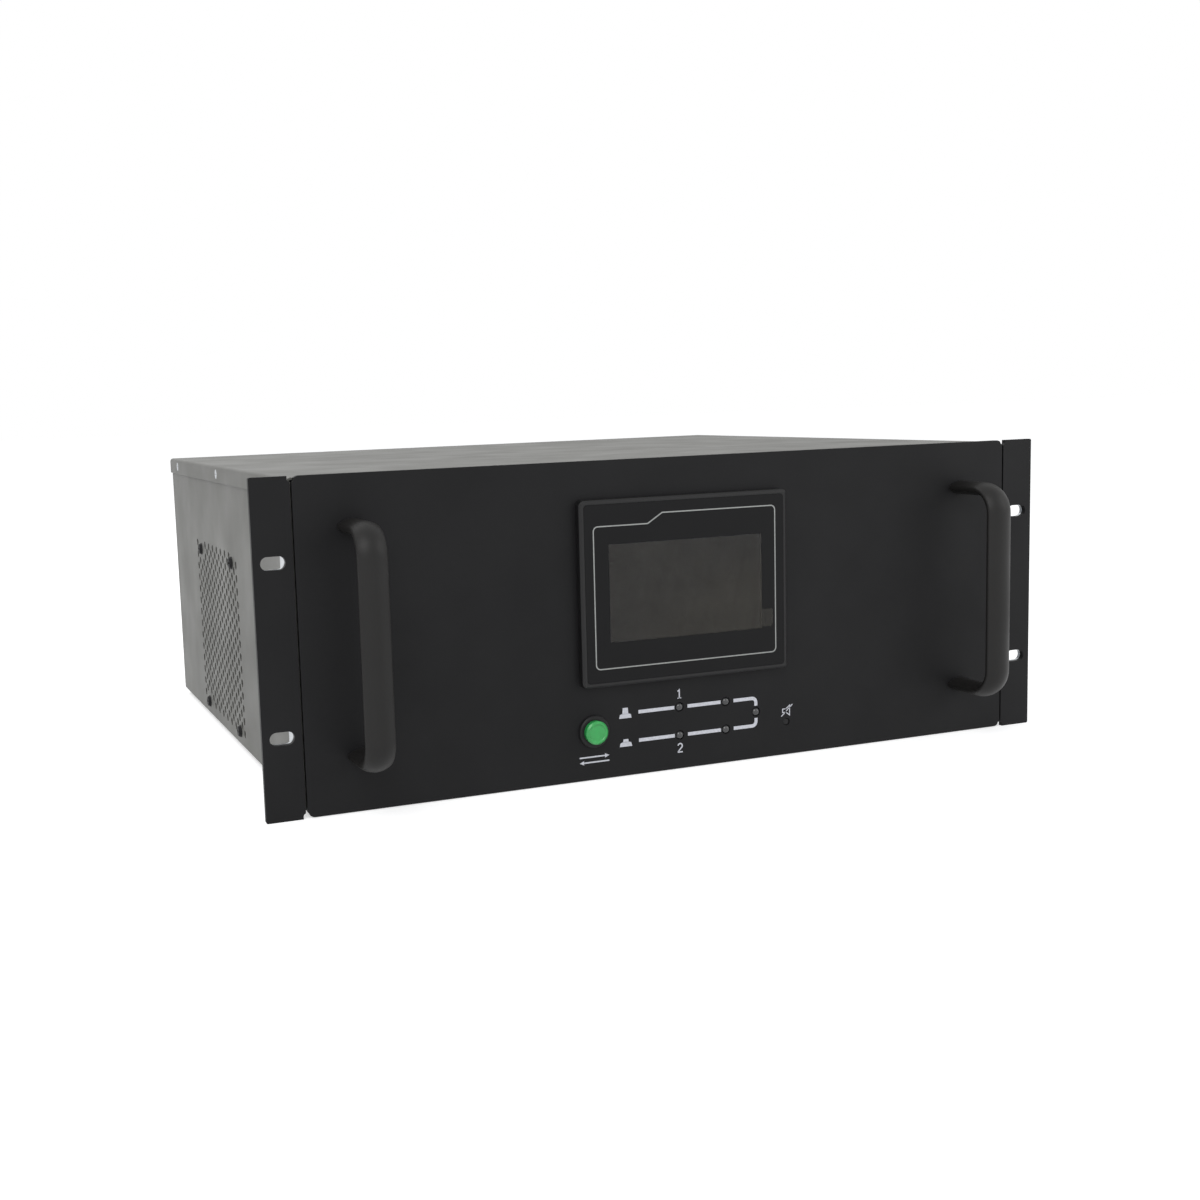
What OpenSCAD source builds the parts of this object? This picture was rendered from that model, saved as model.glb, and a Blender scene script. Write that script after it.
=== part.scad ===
// Rack static transfer switch, 4U, built as it comes apart on a bench.
// Frame: origin in the middle of the rack hole pattern, on the plane where the ears meet the rack rails.
// +X is to the right seen from the front, +Y points to the back, +Z is up. Millimetres.

/* [Rack front] */
// Overall width across both ears
panel_w = 482.6; // [480:0.1:486]
// Overall height of the ears
panel_h = 177; // [174:0.5:180]
// Thickness of the centre panel and of the ears
panel_t = 3; // [2:0.5:4]
// Width of an ear
ear_w = 20.8; // [20.3:0.1:23]
// Gap between the centre panel and each ear
seam_gap = 1; // [0.6:0.1:1.6]
// How much shorter the centre panel is than the ears, at its lower edge
centre_lift = 0.4; // [0:0.1:1]
// Width of the relief notch at each end of a seam
notch_w = 3.6; // [3:0.1:5]
// Depth of the relief notch
notch_depth = 3.2; // [2.4:0.1:5]
// Corner radius of the centre panel
corner_r = 4; // [1:0.5:6]
// Length of a rack slot
slot_len = 13; // [10:0.5:15]
// Height of a rack slot
slot_h = 7; // [6.5:0.1:8]
// Vertical distance between the rack slots
slot_pitch = 90; // [76:1:110]

/* [Chassis] */
// How far each side wall reaches past the centre panel, behind the ear
wall_over = 0.65; // [0:0.05:1.5]
// Depth behind the rack mounting plane, to the outer face of the rear panel
body_depth = 375; // [370:1:460]
// Step from the lower edge of the ears up to the chassis floor
under_gap = 3; // [1:0.5:5]
// Step from the upper edge of the ears down to the top cover
over_gap = 1; // [0.5:0.5:3]
// Sheet thickness of tray, cover and rear panel
sheet_t = 1.2; // [1:0.1:1.5]
// Thickness of the angle brackets behind the ears
bracket_t = 2; // [1.5:0.1:3]
// Length of a bracket's leg along the side wall
bracket_leg = 18; // [14:1:30]
// Inside radius of the sheet bends
bend_r = 1; // [0.5:0.1:1.6]
// Height of the cover's side flanges
flange_h = 10.3; // [8:0.1:14]
// Width of the folded lips at the open ends of the tray
lip_w = 15; // [12:1:20]
// Distance from the rear panel to the rearmost cover screw
cover_screw_inset = 32; // [20:1:60]
// Distance between the cover screws along one side
cover_screw_pitch = 150; // [100:1:155]
// Thread diameter of the small sheet screws
sheet_screw_d = 3; // [2.5:0.5:4]

/* [Handles] */
// Distance between the two screws of a handle
handle_pitch = 120; // [100:1:130]
// Width of the handle's oval section
handle_w = 16; // [12:0.5:20]
// Thickness of the handle's oval section
handle_t = 8; // [7:0.5:10]
// Reach of the handle in front of the panel
handle_reach = 38.5; // [32:0.5:50]
// Outer radius of the handle's bends
handle_bend = 18; // [14:0.5:22]
// Distance of each handle in from the edge of the centre panel
handle_inset = 30.5; // [24:0.5:40]
// Height of the handles above the middle of the panel
handle_z = 1.5; // [-6:0.5:6]
// Thread diameter of the handle screws
handle_screw_d = 5; // [4:1:5]

/* [Touch panel] */
// Width of the touch panel's bezel
touch_w = 129; // [120:0.5:140]
// Height of the touch panel's bezel
touch_h = 103; // [98:0.5:104]
// How far the bezel stands proud of the panel
touch_proud = 5.5; // [4:0.5:8]
// Height of the touch panel above the middle of the panel, as a share of panel_h
touch_rise = 0.09; // [0.07:0.002:0.1]
// Corner radius of the bezel
touch_corner = 3; // [1:0.5:6]
// Overlap of the bezel on the panel, all round
touch_lap = 5; // [4:0.5:8]
// Depth of the touch panel behind the mounting plane
touch_depth = 30; // [26:1:40]
// Wall of the touch panel's housing
touch_wall = 2; // [1.5:0.1:3]
// Width of the display window
window_w = 95.4; // [90:0.2:100]
// Height of the display window
window_h = 54.2; // [50:0.2:60]

/* [Controls] */
// Diameter of the push button's collar
button_d = 18; // [17:0.5:22]
// Diameter of the push button's cap
cap_d = 13.2; // [12:0.1:14]
// Proud height of the collar
collar_proud = 2; // [1.5:0.1:3]
// Proud height of the cap, not pressed
cap_proud = 5.4; // [5:0.1:8]
// Travel of the push button
button_travel = 3; // [2:0.1:3.2]
// Distance of the push button left of the middle
button_x = 56.6; // [50:0.1:60]
// Height of the control row below the middle of the panel, as a share of panel_h
controls_fall = 0.343; // [0.336:0.001:0.354]
// Lamp diameter
lamp_d = 5; // [3:0.1:5.2]
// How far the lamp domes stand proud of the panel
lamp_proud = 1.2; // [0.5:0.1:3]
// First lamp column, from the middle of the panel
lamp_x = -3.2; // [-8:0.1:2]
// Distance between the two lamp columns
lamp_pitch = 29.7; // [24:0.1:34]
// Distance between the two lamp rows
lamp_rows = 16.2; // [14:0.1:20]
// Distance from the second lamp column to the load lamp
load_lamp_dx = 19.8; // [16:0.1:24]
// Distance from the load lamp to the mute button
mute_dx = 20.4; // [16:0.1:24]
// Diameter of the mute button
mute_d = 3.6; // [3:0.1:4.5]
// Travel of the mute button
mute_travel = 0.8; // [0.4:0.1:1]

/* [Cooling] */
// Fan frame size
fan_size = 120; // [118:1:120]
// Distance between the fan screws
fan_pitch = 105; // [103:0.5:105]
// Fan depth
fan_t = 38; // [32:1:38]
// Distance of the fan axis behind the mounting plane
fan_y = 216; // [205:1:240]
// Gap between fan frame and chassis floor
fan_lift = 1; // [0.5:0.5:3]
// Number of fan blades
blades = 7; // [5:1:9]
// Diameter of a vent hole
vent_d = 5; // [4:0.1:5.5]
// Distance between neighbouring vent holes
vent_pitch = 8; // [7.5:0.1:8.2]
// Columns of vent holes
vent_cols = 20; // [12:1:21]
// Holes in one column
vent_rows = 14; // [8:1:14]
// Height of the vent field's middle above the fan axis
vent_rise = 2; // [0:0.5:3]

/* [Power stage] */
// Gap between a fan and the end of the heatsink
sink_gap = 36; // [33:1:50]
// Width of the heatsink's base
sink_w = 110; // [100:1:120]
// Height of the heatsink
sink_h = 65; // [50:1:70]
// Thickness of the heatsink's base
sink_base = 9; // [6:0.5:12]
// Number of cooling fins
fins = 13; // [9:1:16]
// Thickness of a fin
fin_t = 2; // [1.5:0.1:2.5]
// Length of a thyristor module
module_l = 92; // [80:1:96]
// Width of a thyristor module
module_w = 34; // [30:1:40]
// Height of a thyristor module
module_h = 30; // [25:1:34]
// Distance from the end of the heatsink to the first thyristor module
module_edge = 29; // [20:1:34]

/* [Rear side] */
// Distance of the first breaker's middle from the side wall
breaker_inset = 70; // [60:1:74]
// Height of the breakers' middle above the middle of the panel
breaker_z = 24; // [16:1:32]
// Distance between the breakers
breaker_pitch = 54; // [44:1:60]
// Width of a two-pole breaker
breaker_w = 36; // [35:0.5:36]
// Half the swing of a breaker toggle, in degrees
toggle_swing = 35; // [25:1:40]
// Distance of the terminal block's middle from the side wall
strip_inset = 150; // [146:1:156]
// Power terminal poles
poles = 9; // [6:1:9]
// Distance between the poles
pole_pitch = 22; // [18:0.5:22]
// Depth of the power terminal block behind the rear panel
terminal_t = 22; // [18:1:30]
// Depth of the terminal cover behind the rear panel
cover_t = 38; // [34:1:46]

/* [Hidden] */
$fn = 48;
fn_small = 16;

// Clearances
fit = 0.05;    // radial, a shaft or screw in its hole
side = 0.3;    // between pieces that lie side by side
loose = 0.5;   // radial, a screw through a sheet
past = 1;      // how far a cut runs past the face it opens

// Colours
black = "#1b1c1e";
grey = "#66665f";
zinc = "#9aa0a4";
steel = "#b9bcc0";
copper = "#b87345";
brass = "#b59a4a";
plastic = "#2a2b2d";
board_green = "#1f5b3a";
white = "#dcdcd8";

// Planes of the case
centre_w = panel_w - 2 * (ear_w + seam_gap);
body_w = centre_w + 2 * wall_over;
skin_y = -bracket_t;
face_y = skin_y - panel_t;
top_z = panel_h / 2 - over_gap;
cover_in = top_z - sheet_t;
floor_z = -panel_h / 2 + under_gap;
floor_top = floor_z + sheet_t;
tray_h = cover_in - bend_r - floor_z; // the walls end below the inside radius of the cover's bend
wall_out = body_w / 2;
wall_in = wall_out - sheet_t;
rear_in = body_depth - sheet_t;
seam_x = (centre_w + seam_gap) / 2;
ear_in = centre_w / 2 + seam_gap;
slot_x = ear_in + ear_w / 2;
handle_x = centre_w / 2 - handle_inset;
touch_z = touch_rise * panel_h;
controls_z = -controls_fall * panel_h;

// Flat drawings stood up in the case: x stays x and y becomes z, from y to y + t
module upright(y, t) translate([0, y + t, 0]) rotate([90, 0, 0]) linear_extrude(t) children();
// x becomes y and y becomes z, from x to x + t
module sideways(x, t) translate([x, 0, 0]) rotate([90, 0, 90]) linear_extrude(t) children();
module rod_x(at, d, len) translate(at) rotate([0, 90, 0]) cylinder(d = d, h = len);
module rod_y(at, d, len) translate(at) rotate([-90, 0, 0]) cylinder(d = d, h = len);
module rod_z(at, d, len) translate(at) cylinder(d = d, h = len);
// A turned piece about the y axis; its profile is drawn as [radius, y]
module turned_y(at) translate(at) rotate([-90, 0, 0]) rotate_extrude() children();
module block(from, to) translate(from) cube(to - from);
module both_sides() for (m = [0, 1]) mirror([m, 0, 0]) children();

module rounded(w, h, r) {
    square([w - 2 * r, h], center = true);
    square([w, h - 2 * r], center = true);
    for (x = [-1, 1], y = [-1, 1]) translate([x * (w / 2 - r), y * (h / 2 - r)]) circle(r = r);
}

// An oval of four arcs: two ends of radius r, two long sides
module oval(w, t) {
    r = 0.24 * t;
    reach = w / 2 - r;
    side_r = (reach * reach + t * t / 4 - r * r) / (t - 2 * r);
    shift = side_r - t / 2;
    join_x = reach * side_r / (side_r - r);
    for (s = [-1, 1]) translate([s * reach, 0]) circle(r = r);
    intersection() {
        translate([0, -shift]) circle(r = side_r);
        translate([0, shift]) circle(r = side_r);
        square([2 * join_x, t + past], center = true);
    }
}

// Outline with its two lower corners rounded, standing on y = 0
module tub(w, h, r) {
    translate([-w / 2, r]) square([w, h - r]);
    translate([-w / 2 + r, 0]) square([w - 2 * r, h]);
    for (s = [-1, 1]) translate([s * (w / 2 - r), r]) circle(r = r);
}
// Section of a sheet folded up at both edges
module channel(w, h) difference() {
    tub(w, h, bend_r + sheet_t);
    translate([0, sheet_t]) tub(w - 2 * sheet_t, h, bend_r);
}

// ---------------------------------------------------------------- chassis
fan_z = floor_top + fan_lift + fan_size / 2;
fan_corners = [for (a = [-1, 1], b = [-1, 1]) [a * fan_pitch / 2, b * fan_pitch / 2]];
fan_screw_d = 4.3;
fan_head_d = 8;
vent_margin = 7.6; // no vent hole lies nearer than this to a fan screw
function near_screw(p) = min([for (c = fan_corners) norm(p - c)]) < vent_margin;
function vent_hole(c, k) = [
    (c - (vent_cols - 1) / 2) * vent_pitch * sqrt(3) / 2,
    vent_rise + ((vent_rows - 1) / 2 - k) * vent_pitch + (c % 2 == 0 ? -1 : 1) * vent_pitch / 4
];
module vent_field() {
    for (c = [0 : vent_cols - 1], k = [0 : vent_rows - 1])
        if (!near_screw(vent_hole(c, k))) translate(vent_hole(c, k)) circle(d = vent_d, $fn = fn_small);
    for (c = fan_corners) translate(c) circle(d = fan_screw_d + 2 * fit, $fn = fn_small);
}

lip_mid_x = wall_out - lip_w / 2;
lip_mid_z = floor_z + lip_w / 2;
lip_side_z = [-0.28, 0, 0.28] * panel_h;
lip_floor_x = [-0.73, -0.45, 0.45, 0.73] * wall_out;
// Fastening points in the lips at both open ends of the tray
lip_points = concat(
    [for (s = [-1, 1], z = lip_side_z) [s * lip_mid_x, z]],
    [for (x = lip_floor_x) [x, lip_mid_z]]
);
relief_h = 7;    // height left of the front lip below the controls
relief_gap = 4;  // the relief runs this far past the button's nut and the indicator board
stud_d = 4;
stud_len = 9;
cover_screw_y = [for (i = [0 : 2]) body_depth - cover_screw_inset - i * cover_screw_pitch];
cover_screw_z = top_z - flange_h / 2;
fold_h = 10; // folds of the cover behind the front and rear panels
fold_screw_x = [-0.545, 0, 0.545] * wall_out;
fold_screw_z = cover_in - fold_h / 2;

module lip_frame() difference() {
    tub(body_w, tray_h, bend_r + sheet_t);
    translate([-body_w / 2 + lip_w, lip_w]) square([body_w - 2 * lip_w, tray_h]);
}

module chassis_tray() color(grey) difference() {
    union() {
        translate([0, 0, floor_z]) upright(skin_y, rear_in - skin_y) channel(body_w, tray_h);
        translate([0, 0, floor_z]) upright(skin_y, sheet_t) difference() {
            lip_frame();
            translate([relief_x[0], relief_h]) square([relief_x[1] - relief_x[0], lip_w]);
        }
        translate([0, 0, floor_z]) upright(rear_in - sheet_t, sheet_t) lip_frame();
    }
    for (x = [-wall_out - past, wall_in - past])
        translate([0, fan_y, fan_z]) sideways(x, sheet_t + 2 * past) vent_field();
    for (y = cover_screw_y, s = [-1, 1])
        rod_x([s * wall_out - 2 * sheet_t, y, cover_screw_z], sheet_screw_d, 4 * sheet_t);
    for (p = lip_points) {
        rod_y([p[0], skin_y - past, p[1]], stud_d + loose, sheet_t + 2 * past);
        rod_y([p[0], rear_in - sheet_t - past, p[1]], sheet_screw_d, sheet_t + 2 * past);
    }
    for (p = sink_feet) rod_z([p[0], p[1], floor_z - past], sink_screw_d, sheet_t + 2 * past);
    for (p = board_corners) rod_z([p[0], p[1], floor_z - past], board_screw_d, sheet_t + 2 * past);
}

fold_x = body_w / 2 - lip_w - side;
module at_cover_screws() for (y = cover_screw_y) both_sides()
    translate([wall_out + sheet_t, y, cover_screw_z]) rotate([0, -90, 0]) children();
module top_cover() color(grey) difference() {
    union() {
        translate([0, 0, top_z]) mirror([0, 0, 1])
            upright(skin_y, body_depth - skin_y) channel(body_w + 2 * sheet_t, flange_h);
        for (y = [skin_y, rear_in - sheet_t])
            block([-fold_x, y, cover_in - fold_h], [fold_x, y + sheet_t, top_z - sheet_t / 2]);
    }
    at_cover_screws() {
        cylinder(d = sheet_screw_d + loose, h = 3 * sheet_t, center = true);
        cylinder(d1 = csk_d, d2 = sheet_screw_d + loose, h = sheet_t);
    }
    for (x = fold_screw_x)
        rod_y([x, rear_in - sheet_t - past, fold_screw_z], sheet_screw_d, sheet_t + 2 * past);
}

csk_d = 2 * sheet_screw_d;
screw_len = 6;
// Countersunk screw: its head's face at z = 0, its shank down the +z axis
module cross_slot(d, z, depth) for (a = [0, 90]) rotate([0, 0, a])
    translate([-0.5 * d, -0.1 * d, z]) cube([d, 0.2 * d, depth]);
module csk_screw() difference() {
    union() {
        cylinder(d1 = csk_d - 2 * fit, d2 = sheet_screw_d, h = sheet_t);
        cylinder(d = sheet_screw_d - 2 * fit, h = screw_len);
    }
    cross_slot(sheet_screw_d, -past, past + sheet_t / 2);
}
module cover_screws() color(black) at_cover_screws() csk_screw();

// Pan head screw: head above z = 0, shank below
module pan_screw(d, len, recess = true) {
    head_h = 0.6 * d;
    difference() {
        union() {
            cylinder(d = 2 * d, h = head_h * 0.6);
            translate([0, 0, head_h * 0.6]) cylinder(d1 = 2 * d, d2 = 1.3 * d, h = head_h * 0.4);
        }
        if (recess) cross_slot(d, head_h * 0.4, head_h);
    }
    translate([0, 0, -len]) cylinder(d = d - 2 * fit, h = len);
}

// ---------------------------------------------------------------- front
module notches() for (s = [-1, 1], v = [0, 1]) {
    translate([s * seam_x, 0]) mirror([0, v]) {
        translate([-notch_w / 2, panel_h / 2 - notch_depth + notch_w / 2]) square([notch_w, notch_depth]);
        translate([0, panel_h / 2 - notch_depth + notch_w / 2]) circle(d = notch_w, $fn = fn_small);
    }
}

lamp_at = [
    for (x = [lamp_x, lamp_x + lamp_pitch], s = [1, -1]) [x, controls_z + s * lamp_rows / 2],
    [lamp_x + lamp_pitch + load_lamp_dx, controls_z]
];
mute_at = [lamp_x + lamp_pitch + load_lamp_dx + mute_dx, controls_z - lamp_rows / 2];
barrel_d = button_d - 2.2;
touch_cut_w = touch_w - 2 * touch_lap;
touch_cut_h = touch_h - 2 * touch_lap;
handle_feet = [for (s = [-1, 1], v = [-1, 1]) [s * handle_x, handle_z + v * handle_pitch / 2]];

module front_panel() color(black) {
    upright(face_y, panel_t) difference() {
        translate([0, centre_lift / 2]) rounded(centre_w, panel_h - centre_lift, corner_r);
        notches();
        translate([0, touch_z]) rounded(touch_cut_w, touch_cut_h, 2);
        translate([-button_x, controls_z]) circle(d = barrel_d + loose);
        for (p = lamp_at) translate(p) circle(d = lamp_d + side);
        translate(mute_at) circle(d = mute_d + 2 * side);
        for (p = handle_feet) translate(p) circle(d = handle_screw_d + loose);
    }
    for (p = lip_points) rod_y([p[0], skin_y, p[1]], stud_d, stud_len);
}

nut_t = 3.2;
module nut(d, t) linear_extrude(t) difference() {
    circle(d = 2 * d, $fn = 6);
    circle(d = d + 2 * fit);
}
module panel_nuts() color(zinc) for (p = lip_points)
    translate([p[0], skin_y + sheet_t, p[1]]) rotate([-90, 0, 0]) nut(stud_d, nut_t);

rivet_d = 3;
rivet_depth = 2;
rivet_z = [-0.38, 0, 0.38] * panel_h;
rivet_x = ear_in + 0.3 * ear_w;
module rack_slots() for (v = [-1, 1]) translate([slot_x, v * slot_pitch / 2]) {
    square([slot_len - slot_h, slot_h], center = true);
    for (s = [-1, 1]) translate([s * (slot_len - slot_h) / 2, 0]) circle(d = slot_h);
}
module ear() difference() {
    upright(face_y, panel_t) difference() {
        translate([slot_x, 0]) rounded(ear_w, panel_h, 1);
        notches();
        rack_slots();
    }
    for (z = rivet_z) rod_y([rivet_x, skin_y - rivet_depth, z], rivet_d, rivet_depth + past);
}
module ear_left() color(black) mirror([1, 0, 0]) ear();
module ear_right() color(black) ear();

// Angle behind each ear: its flange meets the rack rail, its leg lies on the side wall
bracket_inset = 1;
bracket_low = floor_z + bend_r + sheet_t;
bracket_top = top_z - flange_h - bracket_inset;
bracket_h = bracket_top - bracket_low;
module ear_bracket() difference() {
    translate([wall_out, 0, bracket_low]) union() {
        translate([0, skin_y, 0]) cube([panel_w / 2 - bracket_inset - wall_out, bracket_t, bracket_h]);
        translate([0, skin_y, 0]) cube([bracket_t, bracket_leg + bracket_t, bracket_h]);
        translate([bracket_t, 0, 0]) cube([bend_r, bend_r, bracket_h]);
    }
    rod_z([wall_out + bracket_t + bend_r, bend_r, bracket_low - past], 2 * bend_r, bracket_h + 2 * past);
    upright(skin_y - past, bracket_t + 2 * past) rack_slots();
    for (z = rivet_z) translate([rivet_x, 0, z]) rotate([90, 0, 0]) {
        cylinder(d1 = 2 * rivet_d, d2 = rivet_d, h = rivet_d / 2);
        cylinder(d = rivet_d, h = bracket_t + past);
    }
}
module ear_bracket_left() color(grey) mirror([1, 0, 0]) ear_bracket();
module ear_bracket_right() color(grey) ear_bracket();
module ear_rivets() color(zinc) for (z = rivet_z) both_sides()
    translate([rivet_x, 0, z]) rotate([90, 0, 0]) {
        cylinder(d1 = 2 * (rivet_d - fit), d2 = rivet_d - 2 * fit, h = rivet_d / 2);
        cylinder(d = rivet_d - 2 * fit, h = bracket_t + rivet_depth);
    }

// ---------------------------------------------------------------- handles
handle_bore = 14;
module bow(x) {
    straight = handle_reach - handle_bend;
    turn_z = handle_pitch / 2 + handle_t / 2 - handle_bend;
    translate([x, face_y, handle_z]) difference() {
        union() {
            translate([0, handle_t / 2 - handle_reach, -turn_z])
                linear_extrude(2 * turn_z) oval(handle_w, handle_t);
            for (v = [0, 1]) mirror([0, 0, v]) {
                translate([0, 0, handle_pitch / 2]) rotate([90, 0, 0])
                    linear_extrude(straight) oval(handle_w, handle_t);
                translate([0, -straight, turn_z]) rotate([0, -90, 180]) rotate_extrude(angle = 90)
                    translate([handle_bend - handle_t / 2, 0]) rotate(90) oval(handle_w, handle_t);
            }
        }
        for (v = [-1, 1])
            rod_y([0, -handle_bore, v * handle_pitch / 2], handle_screw_d, handle_bore + past);
    }
}
module handle_left() color(black) bow(-handle_x);
module handle_right() color(black) bow(handle_x);
module handle_screws() color(zinc) for (p = handle_feet)
    translate([p[0], skin_y, p[1]]) rotate([-90, 0, 0])
        pan_screw(handle_screw_d, panel_t + handle_bore - 2 * past);

// ---------------------------------------------------------------- touch panel
touch_face = face_y - touch_proud;
overlay_t = 0.6;
overlay_rim = 2.4;
bezel_wall = 2.4;
chamfer = 1.2;
shell_w = touch_cut_w - 2 * side;
shell_h = touch_cut_h - 2 * side;
shell_r = 2;
skirt_end = 10;      // the bezel's skirt ends here, where the rear cover meets it
module_frame = 6;    // width of the display module's frame round the window
module_t = 4.4;
pcb_t = 1.6;
touch_board_y = 17;
touch_post_d = 7;
touch_post_in = 9;   // the posts stand this far inside the shell's edges
touch_post_at = [for (s = [-1, 1], v = [-1, 1])
    [s * (shell_w / 2 - touch_post_in), v * (shell_h / 2 - touch_post_in)]];
touch_post_len = touch_depth - touch_wall - touch_board_y - pcb_t;
touch_slots = 5;     // vent slots on each side of the middle one
touch_slot_w = 2.4;
touch_slot_pitch = 6;
clamp_x = 0.32 * touch_w;
clamp_w = 12;
clamp_t = 9;
clamp_from = 3;
clamp_screw_d = 4;
clamp_screw_end = touch_depth - 8;
clamp_head_t = 3;

module at_touch() translate([0, 0, touch_z]) children();
module shell_inside() rounded(shell_w - 2 * touch_wall, shell_h - 2 * touch_wall, 1);

function chamfer_section(w, t) = [
    [-w / 2, 0], [w / 2, 0], [w / 2, chamfer - t],
    [w / 2 - chamfer, -t], [chamfer - w / 2, -t], [-w / 2, chamfer - t]
];
// Block with its front edges chamfered; its back lies on y, its front faces -y
module chamfered(w, h, t, r, y) intersection() {
    upright(y - t, t) rounded(w, h, r);
    translate([0, y, -h / 2]) linear_extrude(h) polygon(chamfer_section(w, t));
    translate([-w / 2, y, 0]) rotate([90, 0, 90]) linear_extrude(w)
        polygon([for (p = chamfer_section(h, t)) [p[1], p[0]]]);
}

module touch_panel_bezel() color(plastic) at_touch() difference() {
    union() {
        chamfered(touch_w, touch_h, touch_proud, touch_corner, face_y);
        upright(face_y, skirt_end - face_y) rounded(shell_w, shell_h, shell_r);
    }
    upright(touch_face + bezel_wall, skirt_end - touch_face) shell_inside();
    upright(touch_face - past, overlay_t + past)
        rounded(touch_w - 2 * overlay_rim, touch_h - 2 * overlay_rim, touch_corner - 1);
    upright(touch_face - past, bezel_wall + 2 * past)
        square([window_w + side, window_h + side], center = true);
}
module touch_panel_overlay() color(black) at_touch() upright(touch_face, overlay_t) difference() {
    rounded(touch_w - 2 * overlay_rim - side, touch_h - 2 * overlay_rim - side, touch_corner - 1);
    square([window_w + side, window_h + side], center = true);
}
module display_window() color("#4a4d52") at_touch()
    upright(touch_face, bezel_wall) square([window_w, window_h], center = true);
module display_module() color(steel) at_touch() upright(touch_face + bezel_wall, module_t)
    rounded(window_w + 2 * module_frame, window_h + 2 * module_frame, 1.5);

// Clear film on the window, with its pull tab at the lower right
film_t = 0.15;
tab_w = 7;
tab_h = 10;
tab_rise = 1;
module screen_film() color("#c8ccd2", 0.3) at_touch() upright(touch_face - film_t, film_t) {
    square([window_w - side, window_h - side], center = true);
    translate([window_w / 2 - tab_w / 2, -window_h / 2 + tab_rise]) square([tab_w, tab_h]);
    translate([window_w / 2 + tab_w / 2, -window_h / 2 + tab_rise + tab_h / 2]) rounded(tab_w, tab_h, 1.5);
}

module touch_panel_rear_cover() color(plastic) at_touch() difference() {
    union() {
        difference() {
            upright(skirt_end, touch_depth - skirt_end) rounded(shell_w, shell_h, shell_r);
            upright(skirt_end - past, touch_depth - skirt_end - touch_wall + past) shell_inside();
        }
        for (p = touch_post_at) rod_y([p[0], touch_board_y + pcb_t, p[1]], touch_post_d, touch_post_len);
    }
    for (i = [-touch_slots : touch_slots]) translate([i * touch_slot_pitch, 0, 0])
        upright(touch_depth - touch_wall - past, touch_wall + 2 * past)
            rounded(touch_slot_w, 0.4 * shell_h, touch_slot_w / 2 - fit);
}
chip_w = 18;
chip_t = 1.5;
chip_x = 22;
socket_w = 40;
socket_t = 4;
socket_h = 6;
module touch_panel_board() at_touch() {
    color(board_green) upright(touch_board_y, pcb_t)
        rounded(shell_w - 2 * (touch_wall + side), shell_h - 2 * (touch_wall + side), 1);
    color(black) for (s = [-1, 1]) translate([s * chip_x, touch_board_y - chip_t, 0])
        block([-chip_w / 2, 0, -chip_w], [chip_w / 2, chip_t, 0]);
    color(white) translate([0, touch_board_y - socket_t, chip_w])
        block([-socket_w / 2, 0, 0], [socket_w / 2, socket_t, socket_h]);
}
// Four screw clamps draw the bezel against the panel
module touch_panel_clamps() at_touch() for (x = [-clamp_x, clamp_x], v = [0, 1])
    mirror([0, 0, v]) translate([x, 0, shell_h / 2]) {
        color(zinc) difference() {
            block([-clamp_w / 2, clamp_from, 0], [clamp_w / 2, skirt_end, clamp_t]);
            rod_y([0, 0, clamp_t / 2], clamp_screw_d, skirt_end + past);
        }
        color(steel) {
            rod_y([0, skin_y, clamp_t / 2], clamp_screw_d - 2 * fit, clamp_screw_end - skin_y);
            rod_y([0, clamp_screw_end, clamp_t / 2], 1.6 * clamp_screw_d, clamp_head_t);
        }
    }

// ---------------------------------------------------------------- push button, lamps and mute button
cap_skirt = 2;               // the cap's skirt ends this far behind the panel's face
web_y = cap_skirt + button_travel + side;
web_t = 2.5;
stem_d = 5;
barrel_len = 19;             // from the panel's face
stem_end = barrel_len + 6;
switch_len = 16;
at_button = [-button_x, face_y, controls_z];
module transfer_button_collar() color(black) turned_y(at_button) polygon([
    [cap_d / 2 + fit, -collar_proud],
    [button_d / 2 - 0.7, -collar_proud], [button_d / 2, 0.7 - collar_proud],
    [button_d / 2, 0], [barrel_d / 2, 0], [barrel_d / 2, barrel_len], [barrel_d / 2 - 1.6, barrel_len],
    [barrel_d / 2 - 1.6, web_y + web_t], [stem_d / 2 + fit, web_y + web_t], [stem_d / 2 + fit, web_y],
    [cap_d / 2 + fit, web_y]
]);
module transfer_button_cap() color("#1fa050") turned_y(at_button) polygon([
    [0, 0.4 - cap_proud], [cap_d / 2 - 2, 0.4 - cap_proud], [cap_d / 2 - 1.6, -cap_proud],
    [cap_d / 2 - 0.9, -cap_proud], [cap_d / 2, 0.9 - cap_proud],
    [cap_d / 2, cap_skirt], [stem_d / 2, cap_skirt], [stem_d / 2, stem_end], [0, stem_end]
]);
button_nut_w = barrel_d + 7;
button_nut_t = 3;
module transfer_button_nut() color(zinc) translate([-button_x, skin_y, controls_z])
    rotate([-90, 0, 0]) linear_extrude(button_nut_t) difference() {
        circle(d = button_nut_w, $fn = 6);
        circle(d = barrel_d + 2 * fit);
    }
switch_pins = [for (x = [-4, 4], z = [-4, 4]) [x, z]];
pin_w = 2.8;
pin_t = 0.8;
pin_len = 6;
module transfer_button_switch() translate([-button_x, face_y + barrel_len, controls_z]) {
    color(plastic) difference() {
        upright(0, switch_len) rounded(barrel_d + 1, barrel_d + 1, 1.5);
        rod_y([0, -past, 0], stem_d + 2 * fit, stem_end - barrel_len + button_travel + side + past);
    }
    color(brass) for (p = switch_pins) translate([p[0] - pin_w / 2, switch_len, p[1] - pin_t / 2])
        cube([pin_w, pin_len, pin_t]);
}

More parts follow.
